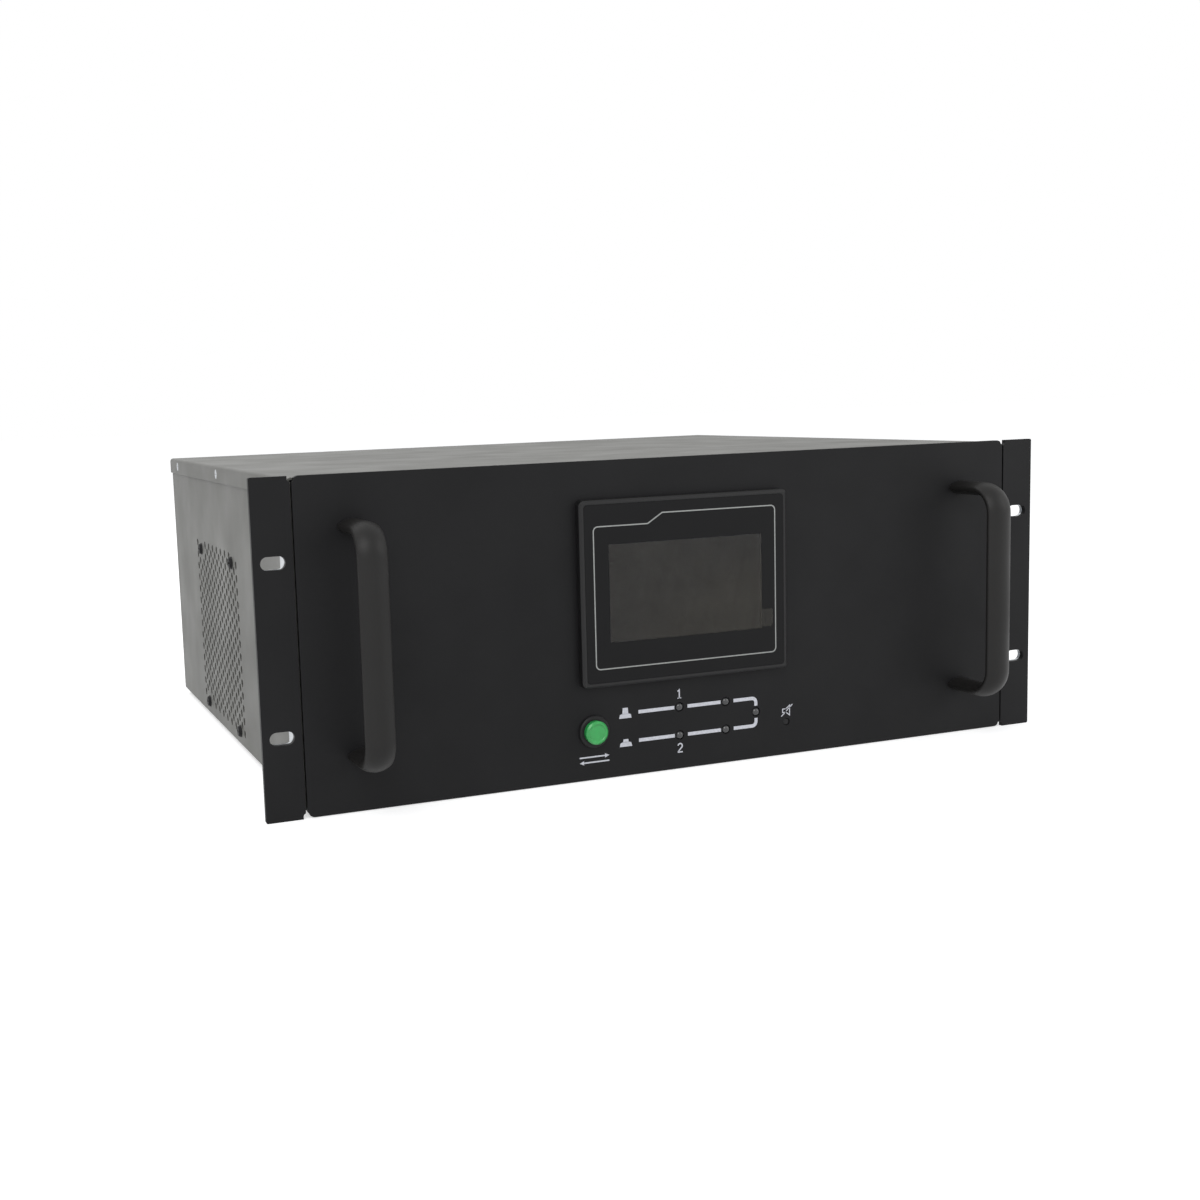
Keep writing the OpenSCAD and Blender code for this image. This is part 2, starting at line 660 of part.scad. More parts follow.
indicator_y = skin_y + 6;
lamp_rim = 0.4;
lamp_rim_t = 1;
module lamp(p) {
    round_y = face_y - lamp_proud + lamp_d / 2;
    translate([p[0], round_y, p[1]]) sphere(d = lamp_d);
    rod_y([p[0], round_y, p[1]], lamp_d, indicator_y - round_y);
    rod_y([p[0], indicator_y - lamp_rim_t, p[1]], lamp_d + 2 * lamp_rim, lamp_rim_t);
}
module status_lamps() color("#55585c") for (p = lamp_at) lamp(p);

mute_switch = 6.2;
mute_switch_t = 3.5;
mute_sunk = 0.5;
mute_back = indicator_y - mute_travel - side;
module mute_button() color(black)
    rod_y([mute_at[0], face_y + mute_sunk, mute_at[1]], mute_d, mute_back - face_y - mute_sunk);
standoff_d = 5;
standoff_in = 3;   // the standoffs' axes lie this far inside the indicator board's edges
board_over = [9, 11, 7];  // board edges beyond the first lamp, the mute button and the lamp rows
indicator_box = [
    [lamp_x - board_over[0], controls_z - lamp_rows / 2 - board_over[2]],
    [mute_at[0] + board_over[1], controls_z + lamp_rows / 2 + board_over[2]]
];
relief_x = [-button_x - button_d - relief_gap, indicator_box[1][0] + relief_gap];
indicator_corners = [for (i = [0, 1], k = [0, 1])
    [indicator_box[i][0] + (1 - 2 * i) * standoff_in, indicator_box[k][1] + (1 - 2 * k) * standoff_in]];
module indicator_board() {
    color(board_green) block([indicator_box[0][0], indicator_y, indicator_box[0][1]],
        [indicator_box[1][0], indicator_y + pcb_t, indicator_box[1][1]]);
    color(plastic) translate([mute_at[0], indicator_y - mute_switch_t, mute_at[1]]) difference() {
        upright(0, mute_switch_t) square(mute_switch, center = true);
        rod_y([0, -past, 0], mute_d + 2 * fit, mute_switch_t + past);
    }
}
module indicator_standoffs() color(zinc)
    for (p = indicator_corners) rod_y([p[0], skin_y, p[1]], standoff_d, indicator_y - skin_y);

// ---------------------------------------------------------------- fans, drawn about z, wall at z = 0
fan_bore = fan_size - 5;
fan_flange = 4;
hub_d = 42;
fan_shaft_d = 5;
strut_t = 5;
tip_gap = 1.2;
blade_tip = fan_bore / 2 - tip_gap;
hub_low = 4;
hub_top = fan_t - strut_t - 4;
blade_bow = 40;   // radius of the blade's camber
blade_sweep = 48; // angle of camber, in degrees
blade_strips = 4;
blade_t = 1.6;
blade_pitch = 38; // pitch of the blade, in degrees
cup_wall = 2.5;
bearing_d = 14;
coil_d = hub_d - 2 * cup_wall - 4;
bearing_low = hub_low + cup_wall + 2;
coil_low = bearing_low + 3;
frame_r = 6;
boss_wall = 3;
strut_w = 6;

module fan_frame() difference() {
    union() {
        difference() {
            union() {
                for (z = [0, fan_t - fan_flange]) translate([0, 0, z])
                    linear_extrude(fan_flange) rounded(fan_size, fan_size, frame_r);
                cylinder(d = fan_size - 1, h = fan_t);
                for (c = fan_corners) translate(c) cylinder(d = fan_screw_d + 2 * boss_wall, h = fan_t);
            }
            translate([0, 0, -past]) cylinder(d = fan_bore, h = fan_t + 2 * past);
        }
        translate([0, 0, fan_t - strut_t]) {
            cylinder(d = hub_d - 2, h = strut_t);
            for (a = [20 : 90 : 290]) rotate([0, 0, a]) translate([0, -strut_w / 2, 0])
                cube([fan_bore / 2 + 1, strut_w, strut_t]);
        }
        translate([0, 0, bearing_low]) cylinder(d = bearing_d, h = fan_t - strut_t - bearing_low);
        translate([0, 0, coil_low]) cylinder(d = coil_d, h = fan_t - strut_t - coil_low);
    }
    for (c = fan_corners) rod_z([c[0], c[1], -past], fan_screw_d, fan_t + 2 * past);
    rod_z([0, 0, -past], fan_shaft_d + 2 * fit, fan_t + 2 * past - strut_t / 2);
}
// The blade's section is an arc of flat strips, so that it meets the hub in clean edges
function blade_arc(r) = [for (i = [0 : blade_strips])
    let (a = (i / blade_strips - 0.5) * blade_sweep) [r * sin(a), r * cos(a) - blade_bow]];
module blade() intersection() {
    cylinder(r = blade_tip, h = fan_t);
    translate([hub_d / 4, 0, (hub_low + hub_top) / 2]) rotate([90, 0, 90]) rotate(blade_pitch)
        linear_extrude(fan_size / 2) polygon(concat(
            blade_arc(blade_bow + blade_t),
            [for (i = [blade_strips : -1 : 0]) blade_arc(blade_bow)[i]]
        ));
}
module impeller() {
    difference() {
        union() {
            translate([0, 0, hub_low]) cylinder(d = hub_d, h = hub_top - hub_low);
            for (i = [0 : blades - 1]) rotate([0, 0, i * 360 / blades]) blade();
        }
        translate([0, 0, hub_low + cup_wall]) cylinder(d = hub_d - 2 * cup_wall, h = fan_t);
    }
    translate([0, 0, hub_low]) cylinder(d = fan_shaft_d, h = fan_t - strut_t - hub_low);
}
module at_fan() translate([-wall_in, fan_y, fan_z]) rotate([0, 90, 0]) children();
module fan_frame_left() color(plastic) at_fan() fan_frame();
module fan_frame_right() color(plastic) mirror([1, 0, 0]) at_fan() fan_frame();
module fan_impeller_left() color("#232426") at_fan() impeller();
module fan_impeller_right() color("#232426") mirror([1, 0, 0]) at_fan() impeller();
fan_screw_len = 12;
fan_head_t = 1.8;
module fan_screws() color(black) both_sides() at_fan() for (c = fan_corners)
    translate([c[0], c[1], -sheet_t]) rotate([180, 0, 0]) {
        difference() {
            cylinder(d1 = fan_head_d, d2 = fan_head_d - 2, h = fan_head_t);
            cross_slot(fan_screw_d, fan_head_t / 2, fan_head_t);
        }
        translate([0, 0, -fan_screw_len]) cylinder(d = fan_screw_d - 2 * fit, h = fan_screw_len);
    }

// ---------------------------------------------------------------- power stage
sink_len = 2 * (wall_in - fan_t - sink_gap);
sink_top = floor_top + sink_h;
fin_pitch = (sink_w - fin_t) / (fins - 1);
foot_w = 12;
foot_t = 4;
fin_lift = 2;
sink_screw_d = 4;
sink_feet = [for (s = [-1, 1], v = [-1, 1])
    [s * (sink_len / 2 - foot_w), fan_y + v * (sink_w + foot_w) / 2]];
module heatsink() color(steel) difference() {
    translate([0, fan_y, floor_top]) sideways(-sink_len / 2, sink_len) {
        translate([-sink_w / 2, sink_h - sink_base]) square([sink_w, sink_base]);
        for (i = [1 : fins - 2]) translate([i * fin_pitch - sink_w / 2, fin_lift])
            square([fin_t, sink_h - sink_base]);
        for (s = [0, 1]) mirror([s, 0]) {
            translate([sink_w / 2 - fin_t, 0]) square([fin_t, sink_h]);
            translate([sink_w / 2 - fin_t, 0]) square([foot_w + fin_t, foot_t]);
        }
    }
    for (p = sink_feet) rod_z([p[0], p[1], floor_top - past], sink_screw_d + 2 * side, foot_t + 2 * past);
    for (x = module_x, y = module_bolt_y)
        rod_z([x, y, sink_top - sink_base + past], module_bolt_d, sink_base);
}
module sink_screws() color(zinc) for (p = sink_feet)
    translate([p[0], p[1], floor_top + foot_t]) pan_screw(sink_screw_d, foot_t + sheet_t, false);

plate_t = 3;
module_bolt_d = 5;
module_bolt_in = 7;     // the bolts stand this far inside the ends of the module's plate
module_pitch = (sink_len - 2 * module_edge - module_w) / 3;
module_x = [for (i = [0 : 3]) (i - 1.5) * module_pitch];
module_bolt_y = [for (s = [-1, 1]) fan_y + s * (module_l / 2 - module_bolt_in)];
pad_pitch = 20;
pad_y = [for (i = [-1 : 1]) fan_y + i * pad_pitch];
pad_bore = 9;
shoulder = 5;           // the sides of the module's body end this far below its top
body_in = [2, 13];      // body inside the plate's edges, across and along
ridge_in = [7, 15];
module thyristor_modules() for (x = module_x) translate([x, fan_y, sink_top]) {
    color(zinc) difference() {
        linear_extrude(plate_t) rounded(module_w, module_l, 2);
        for (y = module_bolt_y) rod_z([0, y - fan_y, -past], module_bolt_d + loose, plate_t + 2 * past);
    }
    color("#33353a") translate([0, 0, plate_t]) difference() {
        union() {
            linear_extrude(module_h - plate_t - shoulder)
                rounded(module_w - 2 * body_in[0], module_l - 2 * body_in[1], 2);
            linear_extrude(module_h - plate_t)
                rounded(module_w - 2 * ridge_in[0], module_l - 2 * ridge_in[1], 2);
        }
        for (y = pad_y)
            rod_z([0, y - fan_y, module_h - plate_t - pad_bore], module_bolt_d, pad_bore + past);
    }
    // Gate tabs on the shoulders, in front of the busbars
    color(brass) for (x = [shoulder - module_w / 2, module_w / 2 - shoulder])
        translate([x - pin_t / 2, body_in[1] + pin_t - module_l / 2, module_h - shoulder])
            cube([pin_t, pin_w, pin_len]);
}
bar_t = 2;
bar_w = 15;
bar_z = sink_top + module_h;
module module_screws() color(steel) for (x = module_x) {
    for (y = module_bolt_y) translate([x, y, sink_top + plate_t])
        pan_screw(module_bolt_d, plate_t + sink_base - 2 * past, false);
    for (i = [0, 2]) translate([x, pad_y[i], bar_z + bar_t]) pan_screw(module_bolt_d, pad_bore, false);
    translate([x, pad_y[1], bar_z]) pan_screw(module_bolt_d, pad_bore - bar_t, false);
}
// Two output bars along x, and four input bars that step up towards the breakers
bar_rise = 30;
bar_run = 36;   // from the screw to the riser's back
module busbars() color(copper) {
    for (i = [0, 2]) difference() {
        block([module_x[i] - bar_w / 2, pad_y[0] - bar_w / 2, bar_z],
            [module_x[i + 1] + bar_w / 2, pad_y[0] + bar_w / 2, bar_z + bar_t]);
        for (k = [i, i + 1])
            rod_z([module_x[k], pad_y[0], bar_z - past], module_bolt_d + side, bar_t + 2 * past);
    }
    for (x = module_x) difference() {
        translate([x - bar_w / 2, pad_y[2], bar_z]) {
            translate([0, -bar_w / 2, 0]) cube([bar_w, bar_run + bar_w / 2, bar_t]);
            translate([0, bar_run - bar_t, 0]) cube([bar_w, bar_t, bar_rise]);
        }
        rod_z([x, pad_y[2], bar_z - past], module_bolt_d + side, bar_t + 2 * past);
        rod_y([x, pad_y[2], bar_z + bar_rise - bar_w / 2], module_bolt_d + side, bar_run + past);
    }
}
ring_d = 44;
ring_hole = 22;
ring_t = 16;
ring_wall = (ring_d - ring_hole) / 2;
ring_edge = 2;    // depth of the step round the ring's edges
ring_gap = 8;
ring_foot_w = 36;
ring_foot_t = 5;
ring_back = 57;   // from the rings to the outer face of the rear panel
ring_y = body_depth - ring_back;
module current_transformers() color("#3b4a63") for (s = [-1, 1])
    translate([strip_x + bar_w + s * (ring_d + ring_gap) / 2, ring_y, floor_top]) {
        translate([0, 0, ring_foot_t + ring_d / 2 - past]) rotate([90, 0, 0]) rotate_extrude()
            translate([(ring_d + ring_hole) / 4, 0]) {
                square([ring_wall, ring_t - 2 * ring_edge], center = true);
                square([ring_wall - 2 * ring_edge, ring_t], center = true);
            }
        translate([-ring_foot_w / 2, -ring_t / 2, 0]) cube([ring_foot_w, ring_t, ring_foot_t]);
    }

// ---------------------------------------------------------------- boards and power supply
board_in = 37;      // from the left wall to the control board
board_y = 46;
board_d = 94;
psu_w = 90;
psu_d = 96;
psu_h = 38;
psu_in = 27;        // from the right wall to the power supply
psu_gap = 18;       // between the board and the power supply
board_x = board_in - wall_in;
board_w = wall_in - psu_in - psu_w - psu_gap - board_x;
board_lift = 10;
board_z = floor_top + board_lift;
board_top = board_z + pcb_t;
board_screw_d = 3;
board_foot_d = 6;
board_head_t = 2;
board_edge = 5;     // from the board's edges to its screws
board_corners = [for (x = [board_edge, board_w / 2, board_w - board_edge],
    y = [board_edge, board_d - board_edge]) [board_x + x, board_y + y]];
module control_board() color(board_green) difference() {
    translate([board_x, board_y, board_z]) cube([board_w, board_d, pcb_t]);
    for (p = board_corners) rod_z([p[0], p[1], board_z - past], board_screw_d + side, pcb_t + 2 * past);
}
module board_standoffs() color(zinc) for (p = board_corners) {
    rod_z([p[0], p[1], floor_top], board_foot_d, board_lift);
    rod_z([p[0], p[1], floor_z], board_screw_d - 2 * fit, board_top - floor_z);
    rod_z([p[0], p[1], board_top], board_foot_d - side, board_head_t);
}
// Components stand on the board: [place along it, depth place, length, depth, height],
// lengths along the board as shares of its width
relay = [0.075, 70, 0.058, 12, 15];
relay_pitch = 0.075;
can_d = 10;
can_h = 18;
can_at = [0.444, 76];
can_pitch = 0.053;
transformer = [0.774, 58, 0.135, 30, 26];
chips = [
    [0.263, 22, 0.09, 24, 2], [0.421, 26, 0.053, 14, 1.6],
    [0.549, 24, 0.068, 8, 2], [0.549, 40, 0.068, 8, 2]
];
sockets = [[0.09, 4, 0.195, 8, 10], [0.338, 4, 0.135, 8, 10], [0.602, 4, 0.24, 8, 10]];
module on_board(p, shift = 0)
    translate([board_x + (p[0] + shift) * board_w, board_y + p[1], board_top]) children();
module component(c, shift = 0) on_board(c, shift) cube([c[2] * board_w, c[3], c[4]]);
module board_parts() {
    color("#2c3f6b") for (i = [0 : 3]) component(relay, i * relay_pitch);
    color(black) for (i = [0 : 4]) on_board(can_at, i * can_pitch) cylinder(d = can_d, h = can_h);
    color("#8a8d90") component(transformer);
    color(black) for (c = chips) component(c);
    color(white) for (c = sockets) component(c);
}
bay_d = 16;         // open bay for the supply's terminals
supply_poles = 8;
supply_pitch = 10;
supply_pole = [9, 13, 15];
supply_gap = 2;
air_slot = [3, 46, 3];
air_slot_pitch = 8;
module power_supply() translate([wall_in - psu_in - psu_w, board_y, floor_top]) {
    color(zinc) difference() {
        cube([psu_w, psu_d, psu_h]);
        translate([sheet_t, -past, sheet_t]) cube([psu_w - 2 * sheet_t, bay_d + past, psu_h]);
        for (i = [-3.5 : 3.5])
            translate([psu_w / 2 + i * air_slot_pitch - air_slot[0] / 2, bay_d * 2, psu_h - air_slot[2]])
                cube(air_slot + [0, 0, past]);
    }
    color(plastic) for (i = [0.5 - supply_poles / 2 : supply_poles / 2])
        translate([psu_w / 2 + i * supply_pitch - supply_pole[0] / 2, supply_gap, sheet_t])
            cube(supply_pole);
}

// ---------------------------------------------------------------- breakers, seen from the back
nose_proud = 4;
nose_y = body_depth + nose_proud;
nose_h = 45;
nose_t = 17;
breaker_h = 82;
breaker_t = 41;
hat_h = 35;
hat_t = 7.5;
hat_sheet = 1;
hat_rim = 4;
rail_over = 17;   // the rail runs this far past the outer breakers
post_in = 8;
breaker_x = [for (i = [0 : 2]) breaker_inset - wall_out + i * breaker_pitch];
seat_y = nose_y - nose_t - breaker_t;  // the breakers sit on the rail here
rail_y = seat_y - hat_t;
rail_ends = [breaker_x[0] - breaker_w / 2 - rail_over, breaker_x[2] + breaker_w / 2 + rail_over];
post_x = [rail_ends[0] + post_in, rail_ends[1] - post_in];
module din_rail() color(zinc) difference() {
    translate([0, 0, breaker_z]) sideways(rail_ends[0], rail_ends[1] - rail_ends[0]) {
        translate([rail_y, -hat_h / 2 + hat_rim]) square([hat_sheet, hat_h - 2 * hat_rim]);
        for (s = [0, 1]) mirror([0, s]) {
            translate([rail_y, hat_h / 2 - hat_rim - hat_sheet]) square([hat_t, hat_sheet]);
            translate([seat_y - hat_sheet, hat_h / 2 - hat_rim - hat_sheet])
                square([hat_sheet, hat_rim + hat_sheet]);
        }
    }
    for (x = post_x) rod_y([x, rail_y - past, breaker_z], post_screw_d + loose, hat_sheet + 2 * past);
}
post_d = 8;
post_screw_d = 4;
post_head_t = 2.6;
module rail_posts() color(zinc) for (x = post_x) {
    difference() {
        rod_y([x, rail_y + hat_sheet, breaker_z], post_d, rear_in - rail_y - hat_sheet);
        rod_y([x, rear_in - rear_screw_len, breaker_z], sheet_screw_d, rear_screw_len + past);
    }
    rod_y([x, rail_y, breaker_z], post_screw_d, hat_sheet);
    rod_y([x, rail_y - post_head_t, breaker_z], 1.8 * post_screw_d, post_head_t);
}

drum_r = 6.5;
toggle_w = 26;
toggle_pin = 3;
toggle_reach = 15.5;
axis_sunk = 3;          // the toggle's axis lies this far behind the breaker's nose
pin_end = toggle_w / 2 + toggle_pin;
axis_y = nose_y - axis_sunk;
lever_t = 4.4;
hook_t = 3;
hook_h = 8;
clamp_screw_bore = 6.5;
clamp_bore_depth = 4;
lead_mouth = [9, 12, 9];
pole_split = 12;        // depth of the parting line between the two poles
module breaker(x) color("#d9dad6") translate([x, 0, breaker_z]) difference() {
    union() {
        block([-breaker_w / 2, seat_y, -breaker_h / 2], [breaker_w / 2, seat_y + breaker_t, breaker_h / 2]);
        block([-breaker_w / 2, seat_y + breaker_t, -nose_h / 2], [breaker_w / 2, nose_y, nose_h / 2]);
        for (v = [0, 1]) mirror([0, 0, v]) translate([-breaker_w / 2, seat_y - hook_t, hat_h / 2 + side])
            cube([breaker_w, hook_t, hook_h]);
    }
    rod_x([-toggle_w / 2 - side, axis_y, 0], 2 * (drum_r + side), toggle_w + 2 * side);
    rod_x([-pin_end - side, axis_y, 0], toggle_pin + 2 * fit, 2 * (pin_end + side));
    for (s = [-1, 1], v = [0, 1]) mirror([0, 0, v]) translate([s * breaker_w / 4, seat_y, breaker_h / 2]) {
        rod_y([0, breaker_t - clamp_bore_depth, -lead_mouth[2]], clamp_screw_bore, clamp_bore_depth + past);
        translate([-lead_mouth[0] / 2, breaker_t / 2 - lead_mouth[1] / 2, -lead_mouth[2]])
            cube(lead_mouth + [0, 0, past]);
    }
    translate([-side / 2, seat_y - hook_t - past, -breaker_h / 2 - past])
        cube([side, hook_t + pole_split + past, breaker_h + 2 * past]);
}
module toggle(x) color("#1d1e20") translate([x, axis_y, breaker_z]) rotate([toggle_swing, 0, 0]) {
    rod_x([-toggle_w / 2, 0, 0], 2 * drum_r, toggle_w);
    rod_x([-pin_end, 0, 0], toggle_pin, 2 * pin_end);
    translate([-toggle_w / 2, 0, -lever_t / 2]) cube([toggle_w, toggle_reach - lever_t / 2, lever_t]);
    rod_x([-toggle_w / 2, toggle_reach - lever_t / 2, 0], lever_t, toggle_w);
}
module breaker_source_1() breaker(breaker_x[0]);
module breaker_source_2() breaker(breaker_x[1]);
module breaker_output() breaker(breaker_x[2]);
module toggle_source_1() toggle(breaker_x[0]);
module toggle_source_2() toggle(breaker_x[1]);
module toggle_output() toggle(breaker_x[2]);

// ---------------------------------------------------------------- terminals and sockets on the rear panel
strip_x = wall_out - strip_inset;
strip_h = 34;
strip_lift = 26.5;     // from the chassis floor to the terminal block
strip_z = floor_z + strip_lift + strip_h / 2;
strip_w = poles * pole_pitch;
barrier_t = 2.4;
strip_base = 9;
clamp_plate = 1.5;
plate_w = 13;
plate_h = 28;
bolt_z = 8;            // the bolts stand this far above and below the block's middle
terminal_bolt = 5;
pole_x = [for (i = [0 : poles - 1]) strip_x + (i - (poles - 1) / 2) * pole_pitch];
module power_terminals() {
    color(plastic) difference() {
        translate([strip_x - strip_w / 2 - barrier_t / 2, body_depth, strip_z - strip_h / 2]) {
            cube([strip_w + barrier_t, strip_base, strip_h]);
            for (i = [0 : poles]) translate([i * pole_pitch, 0, 0]) cube([barrier_t, terminal_t, strip_h]);
        }
        for (x = pole_x, v = [-1, 1])
            rod_y([x, body_depth + past, strip_z + v * bolt_z], terminal_bolt, strip_base);
    }
    color(brass) for (x = pole_x) difference() {
        translate([x - plate_w / 2, body_depth + strip_base, strip_z - plate_h / 2])
            cube([plate_w, clamp_plate, plate_h]);
        for (z = [strip_z - bolt_z, strip_z + bolt_z])
            rod_y([x, body_depth, z], terminal_bolt + side, strip_base + clamp_plate + past);
    }
}
module terminal_screws() color(steel) for (x = pole_x, v = [-1, 1])
    translate([x, body_depth + strip_base + clamp_plate, strip_z + v * bolt_z]) rotate([-90, 0, 0])
        pan_screw(terminal_bolt, clamp_plate + strip_base - 2 * past);

cover_wall = 1.5;
cover_w = strip_w + 16;
cover_low = strip_z - strip_h / 2 - 7;
cover_high = strip_z + strip_h / 2 + 5;
tab = 11;
tab_screw_in = 8;
tab_screws = [for (s = [-1, 1], z = [cover_low + tab_screw_in, cover_high - tab_screw_in])
    [strip_x + s * (cover_w + tab) / 2, z]];
module terminal_cover() color(grey) difference() {
    union() {
        block([strip_x - cover_w / 2, body_depth, cover_low],
            [strip_x + cover_w / 2, body_depth + cover_t, cover_high]);
        block([strip_x - cover_w / 2 - tab, body_depth, cover_low],
            [strip_x + cover_w / 2 + tab, body_depth + cover_wall, cover_high]);
    }
    block([strip_x - cover_w / 2 + cover_wall, body_depth - past, cover_low - past],
        [strip_x + cover_w / 2 - cover_wall, body_depth + cover_t - cover_wall, cover_high - cover_wall]);
    for (p = tab_screws)
        rod_y([p[0], body_depth - past, p[1]], sheet_screw_d + loose, cover_wall + 2 * past);
}

socket_z = panel_h / 4;      // height of the signal terminal and the network port
plug_inset = 160;            // from the side wall to the signal terminal's middle
plug_pitch = 5.08;
plug_poles = 10;
plug_at = [wall_out - plug_inset, socket_z];
plug_w = plug_poles * plug_pitch + 2;
plug_h = 11;
plug_proud = 9;
plug_back = 10;              // length of the part behind the panel's inner face
plug_rim = 1.5;              // the front part reaches this far past the panel's cut-out
lead_hole = [3, 6, 4];
lead_screw_d = 2.8;
module signal_terminal() color("#2f8f4e") translate([plug_at[0], body_depth, plug_at[1]]) difference() {
    union() {
        upright(0, plug_proud) square([plug_w, plug_h], center = true);
        upright(-sheet_t - plug_back, sheet_t + plug_back + past)
            square([plug_w - 2 * plug_rim, plug_h - 2 * plug_rim], center = true);
    }
    for (i = [0 : plug_poles - 1]) translate([(i - (plug_poles - 1) / 2) * plug_pitch, plug_proud, 0]) {
        translate([-lead_hole[0] / 2, -lead_hole[1], -lead_hole[2]]) cube(lead_hole + [0, past, 0]);
        rod_y([0, -lead_hole[1] / 2, plug_h / 4], lead_screw_d, lead_hole[1]);
    }
}
jack_inset = 80;             // from the side wall to the network port's middle
jack_at = [wall_out - jack_inset, socket_z];
jack_w = 16;
jack_h = 13.5;
jack_t = 16;
jack_proud = 0.6;
jack_hole = [12, 10, 7];
latch_hole = [6, 10, 2];
module network_port() color(steel) translate([jack_at[0], body_depth, jack_at[1]]) difference() {
    upright(-jack_t, jack_t + jack_proud) square([jack_w, jack_h], center = true);
    translate([-jack_hole[0] / 2, -jack_hole[1], 4 - jack_hole[2]]) cube(jack_hole + [0, past, 0]);
    translate([-latch_hole[0] / 2, -latch_hole[1], 4 - jack_hole[2] - latch_hole[2]])
        cube(latch_hole + [0, past, past]);
}
stud_inset = 38;             // from the side wall to the earth stud
stud_at = [stud_inset - wall_out, -panel_h / 4];
earth_d = 6;
earth_len = 20;
earth_head_t = 3;
earth_nut_t = 5;
washer_t = 1.6;
module earth_stud() color(brass) translate([stud_at[0], body_depth, stud_at[1]]) {
    rod_y([0, -sheet_t, 0], earth_d, sheet_t + earth_len);
    rod_y([0, -sheet_t - earth_head_t, 0], 1.8 * earth_d, earth_head_t);
    rotate([-90, 0, 0]) {
        linear_extrude(washer_t) difference() {
            circle(d = 2 * earth_d);
            circle(d = earth_d + 2 * fit);
        }
        translate([0, 0, washer_t]) nut(earth_d, earth_nut_t);
    }
}

module rear_panel() color(grey) upright(rear_in, sheet_t) difference() {
    translate([0, (floor_z + cover_in) / 2]) rounded(body_w, cover_in - floor_z, bend_r + sheet_t);
    for (p = rear_screw_at) translate(p) circle(d = sheet_screw_d + loose, $fn = fn_small);
    for (x = breaker_x) translate([x, breaker_z])
        square([breaker_w + 2 * side, nose_h + 2 * side], center = true);
    translate(plug_at) square([plug_w, plug_h] - 2 * [plug_rim - side, plug_rim - side], center = true);
    translate(jack_at) square([jack_w + 2 * side, jack_h + 2 * side], center = true);
    translate(stud_at) circle(d = earth_d + 2 * fit);
    for (p = tab_screws) translate(p) circle(d = sheet_screw_d, $fn = fn_small);
}
rear_screw_at = concat(
    lip_points,
    [for (x = fold_screw_x) [x, fold_screw_z]],
    [for (x = post_x) [x, breaker_z]]
);
rear_screw_len = 8;
module rear_screw(p, y)
    translate([p[0], y, p[1]]) rotate([-90, 0, 0]) pan_screw(sheet_screw_d, rear_screw_len);
module rear_panel_screws() color(zinc) {
    for (p = rear_screw_at) rear_screw(p, body_depth);
    for (p = tab_screws) rear_screw(p, body_depth + cover_wall);
}

chassis_tray();
top_cover();
cover_screws();
rear_panel();
rear_panel_screws();
front_panel();
panel_nuts();
ear_left();
ear_right();
ear_bracket_left();
ear_bracket_right();
ear_rivets();
handle_left();
handle_right();
handle_screws();
touch_panel_bezel();
touch_panel_overlay();
display_window();
screen_film();
display_module();
touch_panel_board();
touch_panel_rear_cover();
touch_panel_clamps();
transfer_button_collar();
transfer_button_cap();
transfer_button_nut();
transfer_button_switch();
status_lamps();
mute_button();
indicator_board();
indicator_standoffs();
fan_frame_left();
fan_impeller_left();
fan_frame_right();
fan_impeller_right();
fan_screws();
heatsink();
sink_screws();
thyristor_modules();
module_screws();
busbars();
current_transformers();
control_board();
board_standoffs();
board_parts();
power_supply();
din_rail();
rail_posts();
breaker_source_1();
toggle_source_1();
breaker_source_2();
toggle_source_2();
breaker_output();
toggle_output();
power_terminals();
terminal_screws();
terminal_cover();
signal_terminal();
network_port();
earth_stud();
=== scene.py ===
"""Looks of the rack static transfer switch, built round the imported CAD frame.

Frame: +X right seen from the front, +Y towards the back, +Z up, metres. The origin is the middle
of the rack hole pattern. Places come from the frame; the sizes of the printing are named below, in mm.
"""

import math

import bmesh
import bpy
from mathutils import Matrix, Vector


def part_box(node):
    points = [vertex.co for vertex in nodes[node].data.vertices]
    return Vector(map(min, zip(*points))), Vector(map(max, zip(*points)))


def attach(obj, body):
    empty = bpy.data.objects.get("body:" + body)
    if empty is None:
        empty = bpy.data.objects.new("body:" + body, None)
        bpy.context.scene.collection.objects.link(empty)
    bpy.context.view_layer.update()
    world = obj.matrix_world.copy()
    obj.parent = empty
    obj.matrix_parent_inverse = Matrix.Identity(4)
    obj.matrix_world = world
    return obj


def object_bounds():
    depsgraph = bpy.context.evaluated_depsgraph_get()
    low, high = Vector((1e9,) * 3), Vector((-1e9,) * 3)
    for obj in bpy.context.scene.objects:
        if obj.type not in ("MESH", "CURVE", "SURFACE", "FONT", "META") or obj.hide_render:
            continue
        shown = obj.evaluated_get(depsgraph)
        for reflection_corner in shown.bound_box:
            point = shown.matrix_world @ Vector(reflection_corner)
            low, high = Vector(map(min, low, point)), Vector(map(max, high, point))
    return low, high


MM = 0.001
ROOT = "chassis"
NOISE_LOW, NOISE_HIGH = 0.3, 0.7  # the span of a noise's values that the materials use

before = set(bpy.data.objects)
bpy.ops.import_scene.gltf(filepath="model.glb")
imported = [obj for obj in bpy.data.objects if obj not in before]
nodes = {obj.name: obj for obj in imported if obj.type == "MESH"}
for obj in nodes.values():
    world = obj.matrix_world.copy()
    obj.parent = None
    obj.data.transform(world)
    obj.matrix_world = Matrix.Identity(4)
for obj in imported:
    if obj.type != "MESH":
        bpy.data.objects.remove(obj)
cad_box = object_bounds()


